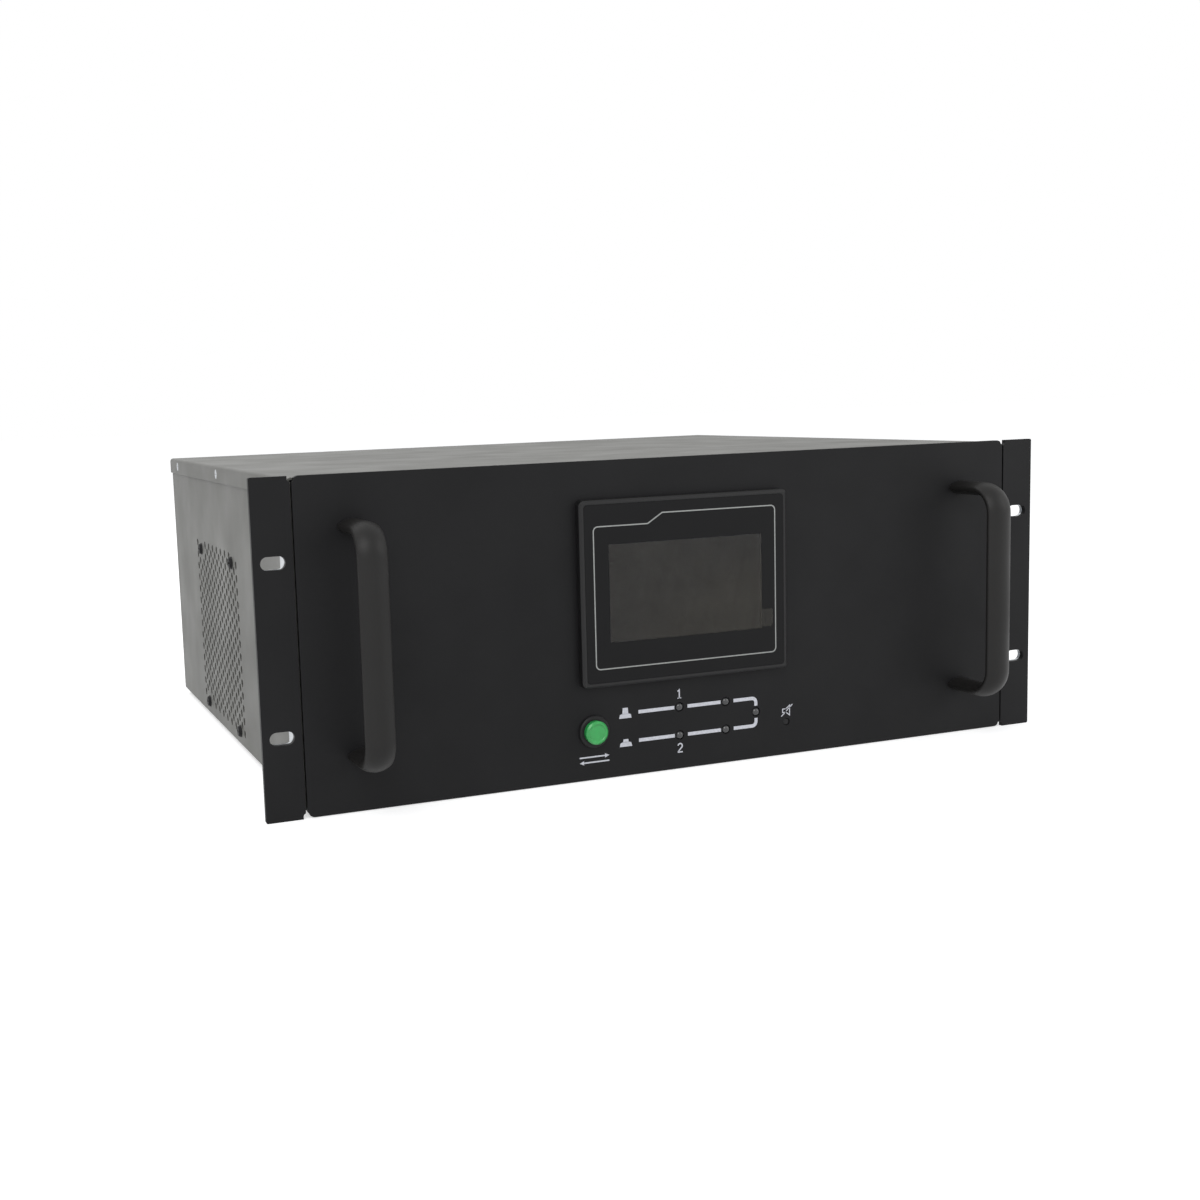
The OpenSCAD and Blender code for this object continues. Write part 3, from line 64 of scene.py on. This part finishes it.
# ------------------------------------------------------------------ node helpers
class Shader:
    """A material's node tree, with short ways to add and join nodes."""

    def __init__(self, name):
        self.material = bpy.data.materials.new(name)
        self.material.use_nodes = True
        self.tree = self.material.node_tree
        self.tree.nodes.clear()
        self.out = self.add("ShaderNodeOutputMaterial")
        self.surface = self.add("ShaderNodeBsdfPrincipled")
        self.join(self.surface, "BSDF", self.out, "Surface")

    def add(self, kind, **values):
        node = self.tree.nodes.new(kind)
        for key, value in values.items():
            if hasattr(node, key):
                setattr(node, key, value)
            else:
                node.inputs[key.replace("_", " ")].default_value = value
        return node

    def join(self, a, a_socket, b, b_socket):
        self.tree.links.new(a.outputs[a_socket], b.inputs[b_socket])

    def set(self, **values):
        for key, value in values.items():
            self.surface.inputs[key.replace("_", " ")].default_value = value

    def coords(self, stretch=(1, 1, 1)):
        """Object coordinates, in metres, stretched per axis."""
        place = self.add("ShaderNodeTexCoord")
        scale = self.add("ShaderNodeMapping")
        scale.inputs["Scale"].default_value = stretch
        self.join(place, "Object", scale, "Vector")
        return scale

    def noise(self, size_mm, detail=2.0, stretch=(1, 1, 1), rough=0.5):
        """Noise with features about size_mm across."""
        tex = self.add("ShaderNodeTexNoise", Scale=1 / (size_mm * MM), Detail=detail, Roughness=rough)
        self.join(self.coords(stretch), "Vector", tex, "Vector")
        return tex

    def ramp(self, source, socket, stops):
        """Colour ramp; stops are (position, colour)."""
        ramp = self.add("ShaderNodeValToRGB")
        points = ramp.color_ramp.elements
        while len(points) < len(stops):
            points.new(0.5)
        for point, (at, colour) in zip(points, stops):
            point.position = at
            point.color = (*colour, 1) if len(colour) == 3 else colour
        self.join(source, socket, ramp, "Fac")
        return ramp

    def span(self, source, socket, start, end, low=0.0, high=1.0):
        """The value of source, mapped from start..end to low..high."""
        span = self.add("ShaderNodeMapRange")
        for key, value in (("From Min", start), ("From Max", end), ("To Min", low), ("To Max", high)):
            span.inputs[key].default_value = value
        self.join(source, socket, span, "Value")
        return span

    def vary_roughness(self, noise, middle, swing):
        """Lets the roughness wander round middle with a noise."""
        span = self.span(noise, "Fac", NOISE_LOW, NOISE_HIGH, middle - swing, middle + swing)
        self.join(span, "Result", self.surface, "Roughness")

    def bump(self, source, socket, depth_mm, strength, below=None):
        bump = self.add("ShaderNodeBump", Strength=strength, Distance=depth_mm * MM)
        self.join(source, socket, bump, "Height")
        if below is not None:
            self.join(below, "Normal", bump, "Normal")
        self.join(bump, "Normal", self.surface, "Normal")

    def soft_edges(self, radius_mm):
        """Rounds the look of sharp edges, as paint and tooling do."""
        bevel = self.add("ShaderNodeBevel", samples=6)
        bevel.inputs["Radius"].default_value = radius_mm * MM
        return bevel


def mottled(shader, colour, spread, size_mm):
    """A base colour that wanders a little round the given one."""
    cloud = shader.noise(size_mm, detail=3.0)
    darker = [c * (1 - spread) for c in colour]
    lighter = [c * (1 + spread) for c in colour]
    ramp = shader.ramp(cloud, "Fac", [(NOISE_LOW, darker), (NOISE_HIGH, lighter)])
    shader.join(ramp, "Color", shader.surface, "Base Color")


# ------------------------------------------------------------------ materials
def powder_coat(name, colour, rough, gloss):
    """Fine-textured powder coat on sheet metal."""
    s = Shader(name)
    s.set(Specular_IOR_Level=gloss)
    mottled(s, colour, spread=0.12, size_mm=60)
    grain = s.noise(size_mm=0.55)
    wander = s.noise(size_mm=35)
    s.vary_roughness(wander, middle=rough, swing=0.05)
    s.bump(grain, "Fac", depth_mm=0.035, strength=0.55, below=s.soft_edges(radius_mm=0.35))
    return s.material


GRAIN_MM = 0.35  # size of the spark-eroded grain on plastic


def moulded(name, colour, rough, gloss=0.4, depth_mm=0.012, edge_mm=0.3):
    """Moulded plastic with a fine spark-eroded grain."""
    s = Shader(name)
    s.set(Specular_IOR_Level=gloss)
    mottled(s, colour, spread=0.08, size_mm=25)
    grain = s.noise(GRAIN_MM, detail=1.0)
    s.vary_roughness(grain, middle=rough, swing=0.06)
    s.bump(grain, "Fac", depth_mm, strength=0.6, below=s.soft_edges(edge_mm))
    return s.material


def plated(name, colour, rough, brushed=(1, 1, 1)):
    """Plated or bare metal with fine marks."""
    s = Shader(name)
    s.set(Metallic=1.0)
    mottled(s, colour, spread=0.10, size_mm=6)
    marks = s.noise(size_mm=0.25, detail=3.0, stretch=brushed)
    s.vary_roughness(marks, middle=rough, swing=0.1)
    s.bump(marks, "Fac", depth_mm=0.006, strength=0.4, below=s.soft_edges(radius_mm=0.15))
    return s.material


TRACK_CELLS = 220  # cells of the track pattern in a metre
TRACK_GREEN = (0.045, 0.2, 0.09)
MASK_GREEN = (0.012, 0.085, 0.035)


def circuit_board(name):
    """Solder mask with the faint relief of tracks under it."""
    s = Shader(name)
    s.set(Roughness=0.35)
    tracks = s.add("ShaderNodeTexVoronoi", distance="CHEBYCHEV", feature="DISTANCE_TO_EDGE")
    tracks.inputs["Scale"].default_value = TRACK_CELLS
    s.join(s.coords(), "Vector", tracks, "Vector")
    ramp = s.ramp(tracks, "Distance", [(0.04, TRACK_GREEN), (0.09, MASK_GREEN)])
    s.join(ramp, "Color", s.surface, "Base Color")
    s.bump(tracks, "Distance", depth_mm=0.03, strength=0.3)
    return s.material


def printing(name, colour):
    """Screen-printed ink, slightly uneven."""
    s = Shader(name)
    s.set(Roughness=0.5, Specular_IOR_Level=0.3)
    mottled(s, colour, spread=0.10, size_mm=1.2)
    s.bump(s.noise(size_mm=0.3), "Fac", depth_mm=0.01, strength=0.4)
    return s.material


def lens(name, colour):
    """Unlit diffused lamp: smoky epoxy with a soft shine."""
    s = Shader(name)
    s.set(Roughness=0.22, Coat_Weight=0.5, Coat_Roughness=0.1, Specular_IOR_Level=0.5)
    mottled(s, colour, spread=0.25, size_mm=1.5)
    s.bump(s.noise(size_mm=0.4), "Fac", depth_mm=0.01, strength=0.3)
    return s.material


def button_green(name):
    """Glossy green plastic that lets a little light through."""
    s = Shader(name)
    s.set(Roughness=0.3, Coat_Weight=0.35, Coat_Roughness=0.12, Subsurface_Weight=0.15)
    s.set(Subsurface_Radius=(0.002, 0.004, 0.002), Subsurface_Scale=1.0)
    mottled(s, (0.022, 0.36, 0.075), spread=0.12, size_mm=5)
    s.bump(s.noise(size_mm=0.5), "Fac", depth_mm=0.008, strength=0.3, below=s.soft_edges(radius_mm=0.35))
    return s.material


COOL_DARK = (0.012, 0.0125, 0.017)
# painted reflection: the warm colour the window turns to low on the right, standing in for a reflection
PAINTED_REFLECTION_WARM = (0.021, 0.0185, 0.0165)


def display_glass(name):
    """Hard-coated window over a dark display, with a warm reflection painted into its colour low on the
    right.
    """
    s = Shader(name)
    s.set(Specular_IOR_Level=0.3)
    low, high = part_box("display_window")
    place = s.add("ShaderNodeTexCoord")
    split = s.add("ShaderNodeSeparateXYZ")
    s.join(place, "Object", split, "Vector")
    across = s.span(split, "X", low.x, high.x)
    down = s.span(split, "Z", high.z, low.z)
    # mask of the painted reflection: grows towards the lower right corner of the window
    reflection_corner = s.add("ShaderNodeMath", operation="MULTIPLY")
    s.join(across, "Result", reflection_corner, 0)
    s.join(down, "Result", reflection_corner, 1)
    ramp = s.ramp(reflection_corner, "Value", [(0.05, COOL_DARK), (0.45, PAINTED_REFLECTION_WARM)])
    s.join(ramp, "Color", s.surface, "Base Color")
    s.vary_roughness(s.noise(size_mm=18), middle=0.18, swing=0.06)
    return s.material


def clear_film(name):
    """Thin protective film: nearly clear, with a faint haze."""
    s = Shader(name)
    s.set(Roughness=0.3, Alpha=0.14, Specular_IOR_Level=0.3)
    mottled(s, (0.20, 0.19, 0.165), spread=0.15, size_mm=14)
    s.bump(s.noise(size_mm=9, detail=1.0), "Fac", depth_mm=0.05, strength=0.2)
    return s.material


BLACK_COAT = powder_coat("black_powder_coat", (0.0062, 0.0062, 0.0068), 0.55, 0.20)
HANDLE_COAT = powder_coat("handle_powder_coat", (0.0085, 0.0080, 0.0076), 0.50, 0.28)
GREY_COAT = powder_coat("grey_coat", (0.118, 0.118, 0.108), 0.50, 0.30)
ZINC = plated("zinc_plate", (0.50, 0.52, 0.54), 0.38)
STEEL = plated("bare_steel", (0.56, 0.57, 0.58), 0.34)
ALUMINIUM = plated("extruded_aluminium", (0.60, 0.61, 0.62), 0.42, (0.1, 1, 1))
COPPER = plated("copper_bar", (0.62, 0.30, 0.16), 0.35, (0.15, 1, 1))
BRASS = plated("brass", (0.62, 0.48, 0.22), 0.32)
DARK_PLASTIC = moulded("dark_plastic", (0.0085, 0.0085, 0.0090), 0.50, 0.30)
BEZEL_PLASTIC = moulded("bezel_plastic", (0.0065, 0.0065, 0.0070), 0.42, 0.35, edge_mm=0.5)
OVERLAY = moulded("overlay_film", (0.0045, 0.0045, 0.0050), 0.42, 0.16, depth_mm=0.004)
FAN_PLASTIC = moulded("fan_plastic", (0.012, 0.012, 0.013), 0.45)
PALE_PLASTIC = moulded("pale_plastic", (0.62, 0.63, 0.60), 0.45)
BLUE_PLASTIC = moulded("blue_plastic", (0.045, 0.075, 0.15), 0.45)
GREEN_PLASTIC = moulded("terminal_green", (0.03, 0.26, 0.09), 0.42)
BOARD = circuit_board("solder_mask")
LAMP = lens("lamp_lens", (0.028, 0.028, 0.030))
GREEN_CAP = button_green("green_cap")
WINDOW = display_glass("display_window_glass")
FILM = clear_film("screen_film_clear")
WHITE_INK = printing("white_ink", (0.60, 0.61, 0.66))
LINE_INK = printing("outline_ink", (0.33, 0.34, 0.33))

FINISH = {
    GREY_COAT: "chassis_tray top_cover rear_panel terminal_cover",
    BLACK_COAT: "front_panel ear_left ear_right fan_screws",
    HANDLE_COAT: "handle_left handle_right",
    ZINC: "cover_screws rear_panel_screws panel_nuts ear_bracket_left ear_bracket_right ear_rivets "
    "handle_screws touch_panel_clamps transfer_button_nut indicator_standoffs sink_screws board_standoffs "
    "din_rail rail_posts",
    STEEL: "display_module module_screws power_supply terminal_screws network_port",
    ALUMINIUM: "heatsink",
    COPPER: "busbars",
    BRASS: "earth_stud",
    DARK_PLASTIC: "touch_panel_rear_cover transfer_button_collar transfer_button_switch mute_button "
    "thyristor_modules board_parts power_terminals toggle_source_1 toggle_source_2 toggle_output",
    BEZEL_PLASTIC: "touch_panel_bezel",
    OVERLAY: "touch_panel_overlay",
    FAN_PLASTIC: "fan_frame_left fan_frame_right fan_impeller_left fan_impeller_right",
    PALE_PLASTIC: "breaker_source_1 breaker_source_2 breaker_output",
    BLUE_PLASTIC: "current_transformers",
    GREEN_PLASTIC: "signal_terminal",
    BOARD: "touch_panel_board indicator_board control_board",
    LAMP: "status_lamps",
    GREEN_CAP: "transfer_button_cap",
    WINDOW: "display_window",
    FILM: "screen_film",
}
for material, names in FINISH.items():
    for name in names.split():
        nodes[name].data.materials.clear()
        nodes[name].data.materials.append(material)


# ------------------------------------------------------------------ flat printing on the front
INK = 0.05  # thickness of the ink, mm


def arc(centre, radius, start, end, steps=6):
    """Points of an arc, from start to end in degrees."""
    angles = (math.radians(start + (end - start) * i / steps) for i in range(steps + 1))
    return [(centre[0] + radius * math.cos(a), centre[1] + radius * math.sin(a)) for a in angles]


def offset(points, distance, closed=False):
    """The points moved sideways by distance, to the left of the way they run."""
    moved = []
    count = len(points)
    for i, p in enumerate(points):
        before = points[i - 1] if i or closed else None
        after = points[(i + 1) % count] if i < count - 1 or closed else None
        normals = []
        for a, b in ((before, p), (p, after)):
            if a is not None and b is not None:
                d = Vector((b[0] - a[0], b[1] - a[1])).normalized()
                normals.append(Vector((-d.y, d.x)))
        n = sum(normals, Vector((0, 0))).normalized()
        stretch = distance / max(n.dot(normals[0]), 0.4)
        moved.append((p[0] + n.x * stretch, p[1] + n.y * stretch))
    return moved


def stroke(points, width):
    """Outline of a line of that width."""
    return offset(points, width / 2) + offset(points, -width / 2)[::-1]


class Print:
    """Flat shapes in one ink, a little proud of a face that looks towards -Y. Millimetres, as (x, z)."""

    def __init__(self, name, material, face_y, body=ROOT):
        self.name, self.material, self.body = name, material, body
        self.back, self.front = face_y / MM, face_y / MM - INK
        self.mesh = bmesh.new()

    def _ring(self, loop, y):
        return [self.mesh.verts.new((x * MM, y * MM, z * MM)) for x, z in loop]

    def shape(self, loop):
        """A filled outline."""
        area = sum(a[0] * b[1] - b[0] * a[1] for a, b in zip(loop, loop[1:] + loop[:1]))
        loop = loop if area > 0 else loop[::-1]
        front, back = self._ring(loop, self.front), self._ring(loop, self.back)
        self.mesh.faces.new(front)
        self.mesh.faces.new(back[::-1])
        count = len(loop)
        for i in range(count):
            j = (i + 1) % count
            self.mesh.faces.new((front[j], front[i], back[i], back[j]))

    def band(self, points, width):
        """A closed line of that width."""
        rings = [
            self._ring(offset(points, side * width / 2, closed=True), y)
            for side, y in ((1, self.front), (-1, self.front), (-1, self.back), (1, self.back))
        ]
        count = len(points)
        for a, b in zip(rings, rings[1:] + rings[:1]):
            for i in range(count):
                j = (i + 1) % count
                self.mesh.faces.new((a[i], a[j], b[j], b[i]))

    def line(self, points, width):
        self.shape(stroke(points, width))

    def done(self):
        bmesh.ops.recalc_face_normals(self.mesh, faces=self.mesh.faces)
        data = bpy.data.meshes.new(self.name)
        self.mesh.to_mesh(data)
        self.mesh.free()
        data.materials.append(self.material)
        piece = bpy.data.objects.new(self.name, data)
        bpy.context.scene.collection.objects.link(piece)
        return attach(piece, self.body)


def solids(node):
    """Middles, in mm, of a CAD node's separate solids, from left to right, then from the top."""
    mesh = nodes[node].data
    owner = {}
    parent = list(range(len(mesh.vertices)))

    def find(i):
        while parent[i] != i:
            parent[i] = parent[parent[i]]
            i = parent[i]
        return i

    for v in mesh.vertices:
        key = tuple(round(c, 6) for c in v.co)
        parent[find(v.index)] = find(owner.setdefault(key, v.index))
    for e in mesh.edges:
        parent[find(e.vertices[0])] = find(e.vertices[1])
    groups = {}
    for v in mesh.vertices:
        groups.setdefault(find(v.index), []).append(v.co)
    middles = []
    for points in groups.values():
        low = [min(p[k] for p in points) for k in range(3)]
        high = [max(p[k] for p in points) for k in range(3)]
        middles.append(Vector([(a + b) / 2 / MM for a, b in zip(low, high)]))
    return sorted(middles, key=lambda m: (round(m.x), -m.z))


PANEL_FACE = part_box("ear_left")[0].y
lamps = solids("status_lamps")
left_top, left_low, mid_top, mid_low, load_lamp = lamps
mute_low, mute_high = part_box("mute_button")
MUTE = (mute_low + mute_high) / 2 / MM

# The mimic: three pairs of bars between the lamps, in mm
BAR = 2.0           # width of the bars
FIRST_BAR = 25.8    # from the first lamps left to the start of the first bars
BAR_STOP = 3.3      # bars end this far before a lamp
BAR_START = 5.1     # and begin this far after it
TURN = 2.6          # radius of the two turns
LOAD_STOP = 3.6     # the turned bars end this far above and below the load lamp

# The button icons left of the bars: a base with slanted shoulders under a cap, in mm
ICON_GAP = 8.15     # from the first bars left to the middle of the icons
ICON_W = 7.7
ICON_FOOT = 0.8     # from an icon's place down to its foot
ICON_SIDE = 1.2     # from its place up to the shoulders
ICON_NECK = 1.7     # and up to the neck
ICON_SLANT = 0.5    # how far the base's slants reach sideways
CAP_FOOT = 1.5      # the cap starts a little inside the base
CAP_SLANT = 0.3
CAP_UP = (3.7, 3.6)       # width and height of the raised cap
CAP_DOWN = (3.5, 1.9)     # and of the pressed one
UP_DROP, DOWN_DROP = 2.0, 1.9  # the icons' places below the rows of lamps


def button_icon(ink, x, z, cap_size):
    half, cap_half = ICON_W / 2, cap_size[0] / 2
    ink.shape([
        (x - half, z - ICON_FOOT),
        (x + half, z - ICON_FOOT),
        (x + half - ICON_SLANT, z + ICON_SIDE),
        (x + cap_half + ICON_SLANT, z + ICON_NECK),
        (x - cap_half - ICON_SLANT, z + ICON_NECK),
        (x - half + ICON_SLANT, z + ICON_SIDE),
    ])
    foot = z + CAP_FOOT
    top = foot + cap_size[1]
    ink.shape([(x - cap_half, foot), (x + cap_half, foot), (x + cap_half - CAP_SLANT, top),
               (x - cap_half + CAP_SLANT, top)])


def mimic():
    ink = Print("mimic_print", WHITE_INK, PANEL_FACE)
    bar_x = left_top.x - FIRST_BAR
    for first, second, side in ((left_top, mid_top, 1), (left_low, mid_low, -1)):
        z = first.z
        ink.line([(bar_x, z), (first.x - BAR_STOP, z)], BAR)
        ink.line([(first.x + BAR_START, z), (second.x - BAR_STOP, z)], BAR)
        turn = arc((load_lamp.x - TURN, z - side * TURN), TURN, 90 * side, 0)
        ink.line([(second.x + BAR_START, z), *turn, (load_lamp.x, load_lamp.z + side * LOAD_STOP)], BAR)
    button_icon(ink, bar_x - ICON_GAP, left_top.z - UP_DROP, CAP_UP)
    button_icon(ink, bar_x - ICON_GAP, left_low.z - DOWN_DROP, CAP_DOWN)
    ink.done()


# The numerals of the two sources, in mm
NUMERAL_GAP = 7.5     # from a row of lamps to the middle of its numeral
DIGIT_H = 5.2
DIGIT_LINE = 0.75
ONE_FLAG = 1.1        # reach of the flag of the 1, to the side and down
ONE_PEAK = 0.3        # from the top down to the middle of its corner
ONE_FOOT = (1.2, 0.25, 0.5)   # half width, height of the middle, and thickness
TWO_RADIUS = 1.35
TWO_TAIL = (1.4, 0.5)         # where the stroke of the 2 ends, left of its middle and above its foot
TWO_FOOT = (1.6, 0.3, 0.7)


def digit_foot(ink, x, base, foot):
    half, rise, line = foot
    ink.line([(x - half, base + rise), (x + half, base + rise)], line)


def digit_one(ink, x, z):
    top, base = z + DIGIT_H / 2, z - DIGIT_H / 2
    ink.line([(x - ONE_FLAG, top - ONE_FLAG), (x, top - ONE_PEAK), (x, base)], DIGIT_LINE)
    digit_foot(ink, x, base, ONE_FOOT)


def digit_two(ink, x, z):
    top, base = z + DIGIT_H / 2, z - DIGIT_H / 2
    bow = arc((x, top - TWO_RADIUS), TWO_RADIUS, 170, -35, 10)
    ink.line([*bow, (x - TWO_TAIL[0], base + TWO_TAIL[1])], DIGIT_LINE)
    digit_foot(ink, x, base, TWO_FOOT)


def numerals():
    ink = Print("source_numerals", WHITE_INK, PANEL_FACE)
    digit_one(ink, left_top.x, left_top.z + NUMERAL_GAP)
    digit_two(ink, left_low.x, left_low.z - NUMERAL_GAP)
    ink.done()


# The two opposed arrows, in mm
ARROWS_DROP = 6.8     # from the collar of the push button down to their middle
ARROW_ROW = 1.5       # from there to each arrow
ARROW_HALF = 9.0      # half the length of an arrow
ARROW_HEAD = 2.6
ARROW_BARB = 1.2      # half the width of the head
ARROW_LINE = 0.8


def change_arrows():
    """Two opposed arrows below the push button."""
    low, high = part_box("transfer_button_collar")
    x, z = (low.x + high.x) / 2 / MM, low.z / MM - ARROWS_DROP
    ink = Print("change_arrows", WHITE_INK, PANEL_FACE)
    for side in (1, -1):
        row = z + side * ARROW_ROW
        tip = x + side * ARROW_HALF
        neck = tip - side * ARROW_HEAD
        ink.line([(x - side * ARROW_HALF, row), (neck, row)], ARROW_LINE)
        ink.shape([(tip, row), (neck, row + ARROW_BARB), (neck, row - ARROW_BARB)])
    ink.done()


# The crossed-out loudspeaker, in mm from its middle
MUTE_SIDE, MUTE_RISE = 0.1, 6.7   # from the mute button to its middle
MUTE_LINE = 0.55
BOX_X, NECK_X, MOUTH_X = -2.7, -0.6, 2.0
BOX_HALF, MOUTH_HALF = 1.0, 2.9
SLASH_FROM, SLASH_TO = (-3.6, -3.3), (3.9, 3.4)


def mute_icon():
    """A crossed-out loudspeaker above the mute button."""
    ink = Print("mute_icon", WHITE_INK, PANEL_FACE)
    x, z = MUTE.x + MUTE_SIDE, MUTE.z + MUTE_RISE
    neck, mouth, back = x + NECK_X, x + MOUTH_X, x + BOX_X
    low, high = z - BOX_HALF, z + BOX_HALF
    ink.band([(neck, low), (mouth, z - MOUTH_HALF), (mouth, z + MOUTH_HALF), (neck, high)], MUTE_LINE)
    ink.band([(back, low), (neck, low), (neck, high), (back, high)], MUTE_LINE)
    ink.line([(x + dx, z + dz) for dx, dz in (SLASH_FROM, SLASH_TO)], MUTE_LINE)
    ink.done()


# The line round the display, in mm
OUTLINE_SIDE, OUTLINE_BELOW, OUTLINE_ABOVE = 5.4, 7.6, 6.3  # in from the overlay's edges
OUTLINE_R = 2.6
OUTLINE_LINE = 0.65
SHOULDER_DROP = 5.6   # the left part of the upper line runs this much lower
STEP_AT = 32.8        # where it starts to rise, from the left line
STEP_W = 9.0


def overlay_outline():
    """Thin line round the display, with a step at the upper left where a name would go."""
    low, high = (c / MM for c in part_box("touch_panel_overlay"))
    left, right = low.x + OUTLINE_SIDE, high.x - OUTLINE_SIDE
    bottom, top = low.z + OUTLINE_BELOW, high.z - OUTLINE_ABOVE
    shoulder = top - SHOULDER_DROP
    step_x = left + STEP_AT
    r = OUTLINE_R
    path = [
        *arc((left + r, bottom + r), r, 180, 270),
        *arc((right - r, bottom + r), r, 270, 360),
        *arc((right - r, top - r), r, 0, 90),
        (step_x + STEP_W, top), (step_x, shoulder),
        *arc((left + r, shoulder - r), r, 90, 180),
    ]
    ink = Print("overlay_outline", LINE_INK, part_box("touch_panel_overlay")[0].y)
    ink.band(path, OUTLINE_LINE)
    ink.done()


mimic()
numerals()
change_arrows()
mute_icon()
overlay_outline()


# ------------------------------------------------------------------ floor, light and camera
def light_path_mix(tree, seen, other, target, socket):
    """seen shows to camera, glossy and transmission rays; other lights the object."""
    path = tree.nodes.new("ShaderNodeLightPath")
    any_ray = None
    for ray in ("Is Camera Ray", "Is Glossy Ray", "Is Transmission Ray"):
        if any_ray is None:
            any_ray = path.outputs[ray]
            continue
        either = tree.nodes.new("ShaderNodeMath")
        either.operation = "MAXIMUM"
        tree.links.new(any_ray, either.inputs[0])
        tree.links.new(path.outputs[ray], either.inputs[1])
        any_ray = either.outputs[0]
    mix = tree.nodes.new("ShaderNodeMixShader")
    tree.links.new(any_ray, mix.inputs[0])
    tree.links.new(other, mix.inputs[1])
    tree.links.new(seen, mix.inputs[2])
    tree.links.new(mix.outputs[0], target.inputs[socket])


WORLD_LIGHT = 0.62
FLOOR_HALF = 12       # half the floor's width, metres
FLOOR_GREY = 0.82
FLOOR_GLOW = 0.52     # lifts the floor to white without lighting the part
LIGHTS = {            # place and size in metres, power in watts
    "key": ((-1.3, -1.5, 1.7), (1.6, 1.6), 26),
    "fill": ((1.6, -1.2, 1.0), (1.4, 1.4), 9),
    "back": ((-0.6, 1.6, 1.5), (1.6, 1.2), 10),
}


def make_world():
    world = bpy.data.worlds.new("studio")
    bpy.context.scene.world = world
    world.use_nodes = True
    tree = world.node_tree
    tree.nodes.clear()
    out = tree.nodes.new("ShaderNodeOutputWorld")
    white, ambient = (tree.nodes.new("ShaderNodeBackground") for _ in range(2))
    white.inputs["Color"].default_value = (1, 1, 1, 1)
    white.inputs["Strength"].default_value = 1.0
    ambient.inputs["Color"].default_value = (0.97, 0.98, 1.0, 1)
    ambient.inputs["Strength"].default_value = WORLD_LIGHT
    light_path_mix(tree, white.outputs[0], ambient.outputs[0], out, "Surface")


def make_floor():
    """Pale floor under the part; it shows as white and keeps the part's shadow."""
    mesh = bpy.data.meshes.new("floor")
    build = bmesh.new()
    bmesh.ops.create_grid(build, x_segments=2, y_segments=2, size=FLOOR_HALF)
    build.to_mesh(mesh)
    build.free()
    floor = bpy.data.objects.new("floor", mesh)
    floor.location.z = cad_box[0].z
    bpy.context.scene.collection.objects.link(floor)
    s = Shader("pale_floor")
    s.set(Base_Color=(FLOOR_GREY, FLOOR_GREY, FLOOR_GREY, 1), Roughness=0.9, Specular_IOR_Level=0.0)
    glow = s.add("ShaderNodeEmission", Strength=FLOOR_GLOW)
    both = s.add("ShaderNodeAddShader")
    s.join(s.surface, "BSDF", both, 0)
    s.join(glow, "Emission", both, 1)
    light_path_mix(s.tree, both.outputs[0], s.surface.outputs[0], s.out, "Surface")
    mesh.materials.append(s.material)


def area_light(name, place, size, watts):
    """A white panel of light that looks at the middle of the part."""
    data = bpy.data.lights.new(name, "AREA")
    data.shape = "RECTANGLE"
    data.size, data.size_y = size
    data.energy = watts
    lamp = bpy.data.objects.new(name, data)
    lamp.location = place
    aim = (cad_box[0] + cad_box[1]) / 2 - Vector(place)
    lamp.rotation_mode = "QUATERNION"
    lamp.rotation_quaternion = aim.to_track_quat("-Z", "Y")
    bpy.context.scene.collection.objects.link(lamp)


CAMERA_AT = Vector((-0.3888, -0.7354, 0.1235))
CAMERA_TURN = 20.92   # degrees to the right of +Y
CAMERA_TILT = -7.40   # degrees above the horizon
CAMERA_ROLL = 1.89    # degrees, clockwise
CAMERA_LENS = 44.37
CAMERA_SHIFT = (0.0836, -0.0078)


def make_camera():
    data = bpy.data.cameras.new("camera")
    data.sensor_width = 36
    data.lens = CAMERA_LENS
    data.shift_x, data.shift_y = CAMERA_SHIFT
    camera = bpy.data.objects.new("camera", data)
    turn = Matrix.Rotation(math.radians(-CAMERA_TURN), 4, "Z")
    tilt = Matrix.Rotation(math.radians(90 + CAMERA_TILT), 4, "X")
    roll = Matrix.Rotation(math.radians(-CAMERA_ROLL), 4, "Z")
    camera.matrix_world = Matrix.Translation(CAMERA_AT) @ turn @ tilt @ roll
    bpy.context.scene.collection.objects.link(camera)
    bpy.context.scene.camera = camera


make_world()
make_floor()
for name, (place, size, watts) in LIGHTS.items():
    area_light(name, place, size, watts)
make_camera()
bpy.context.scene.view_settings.view_transform = "Standard"
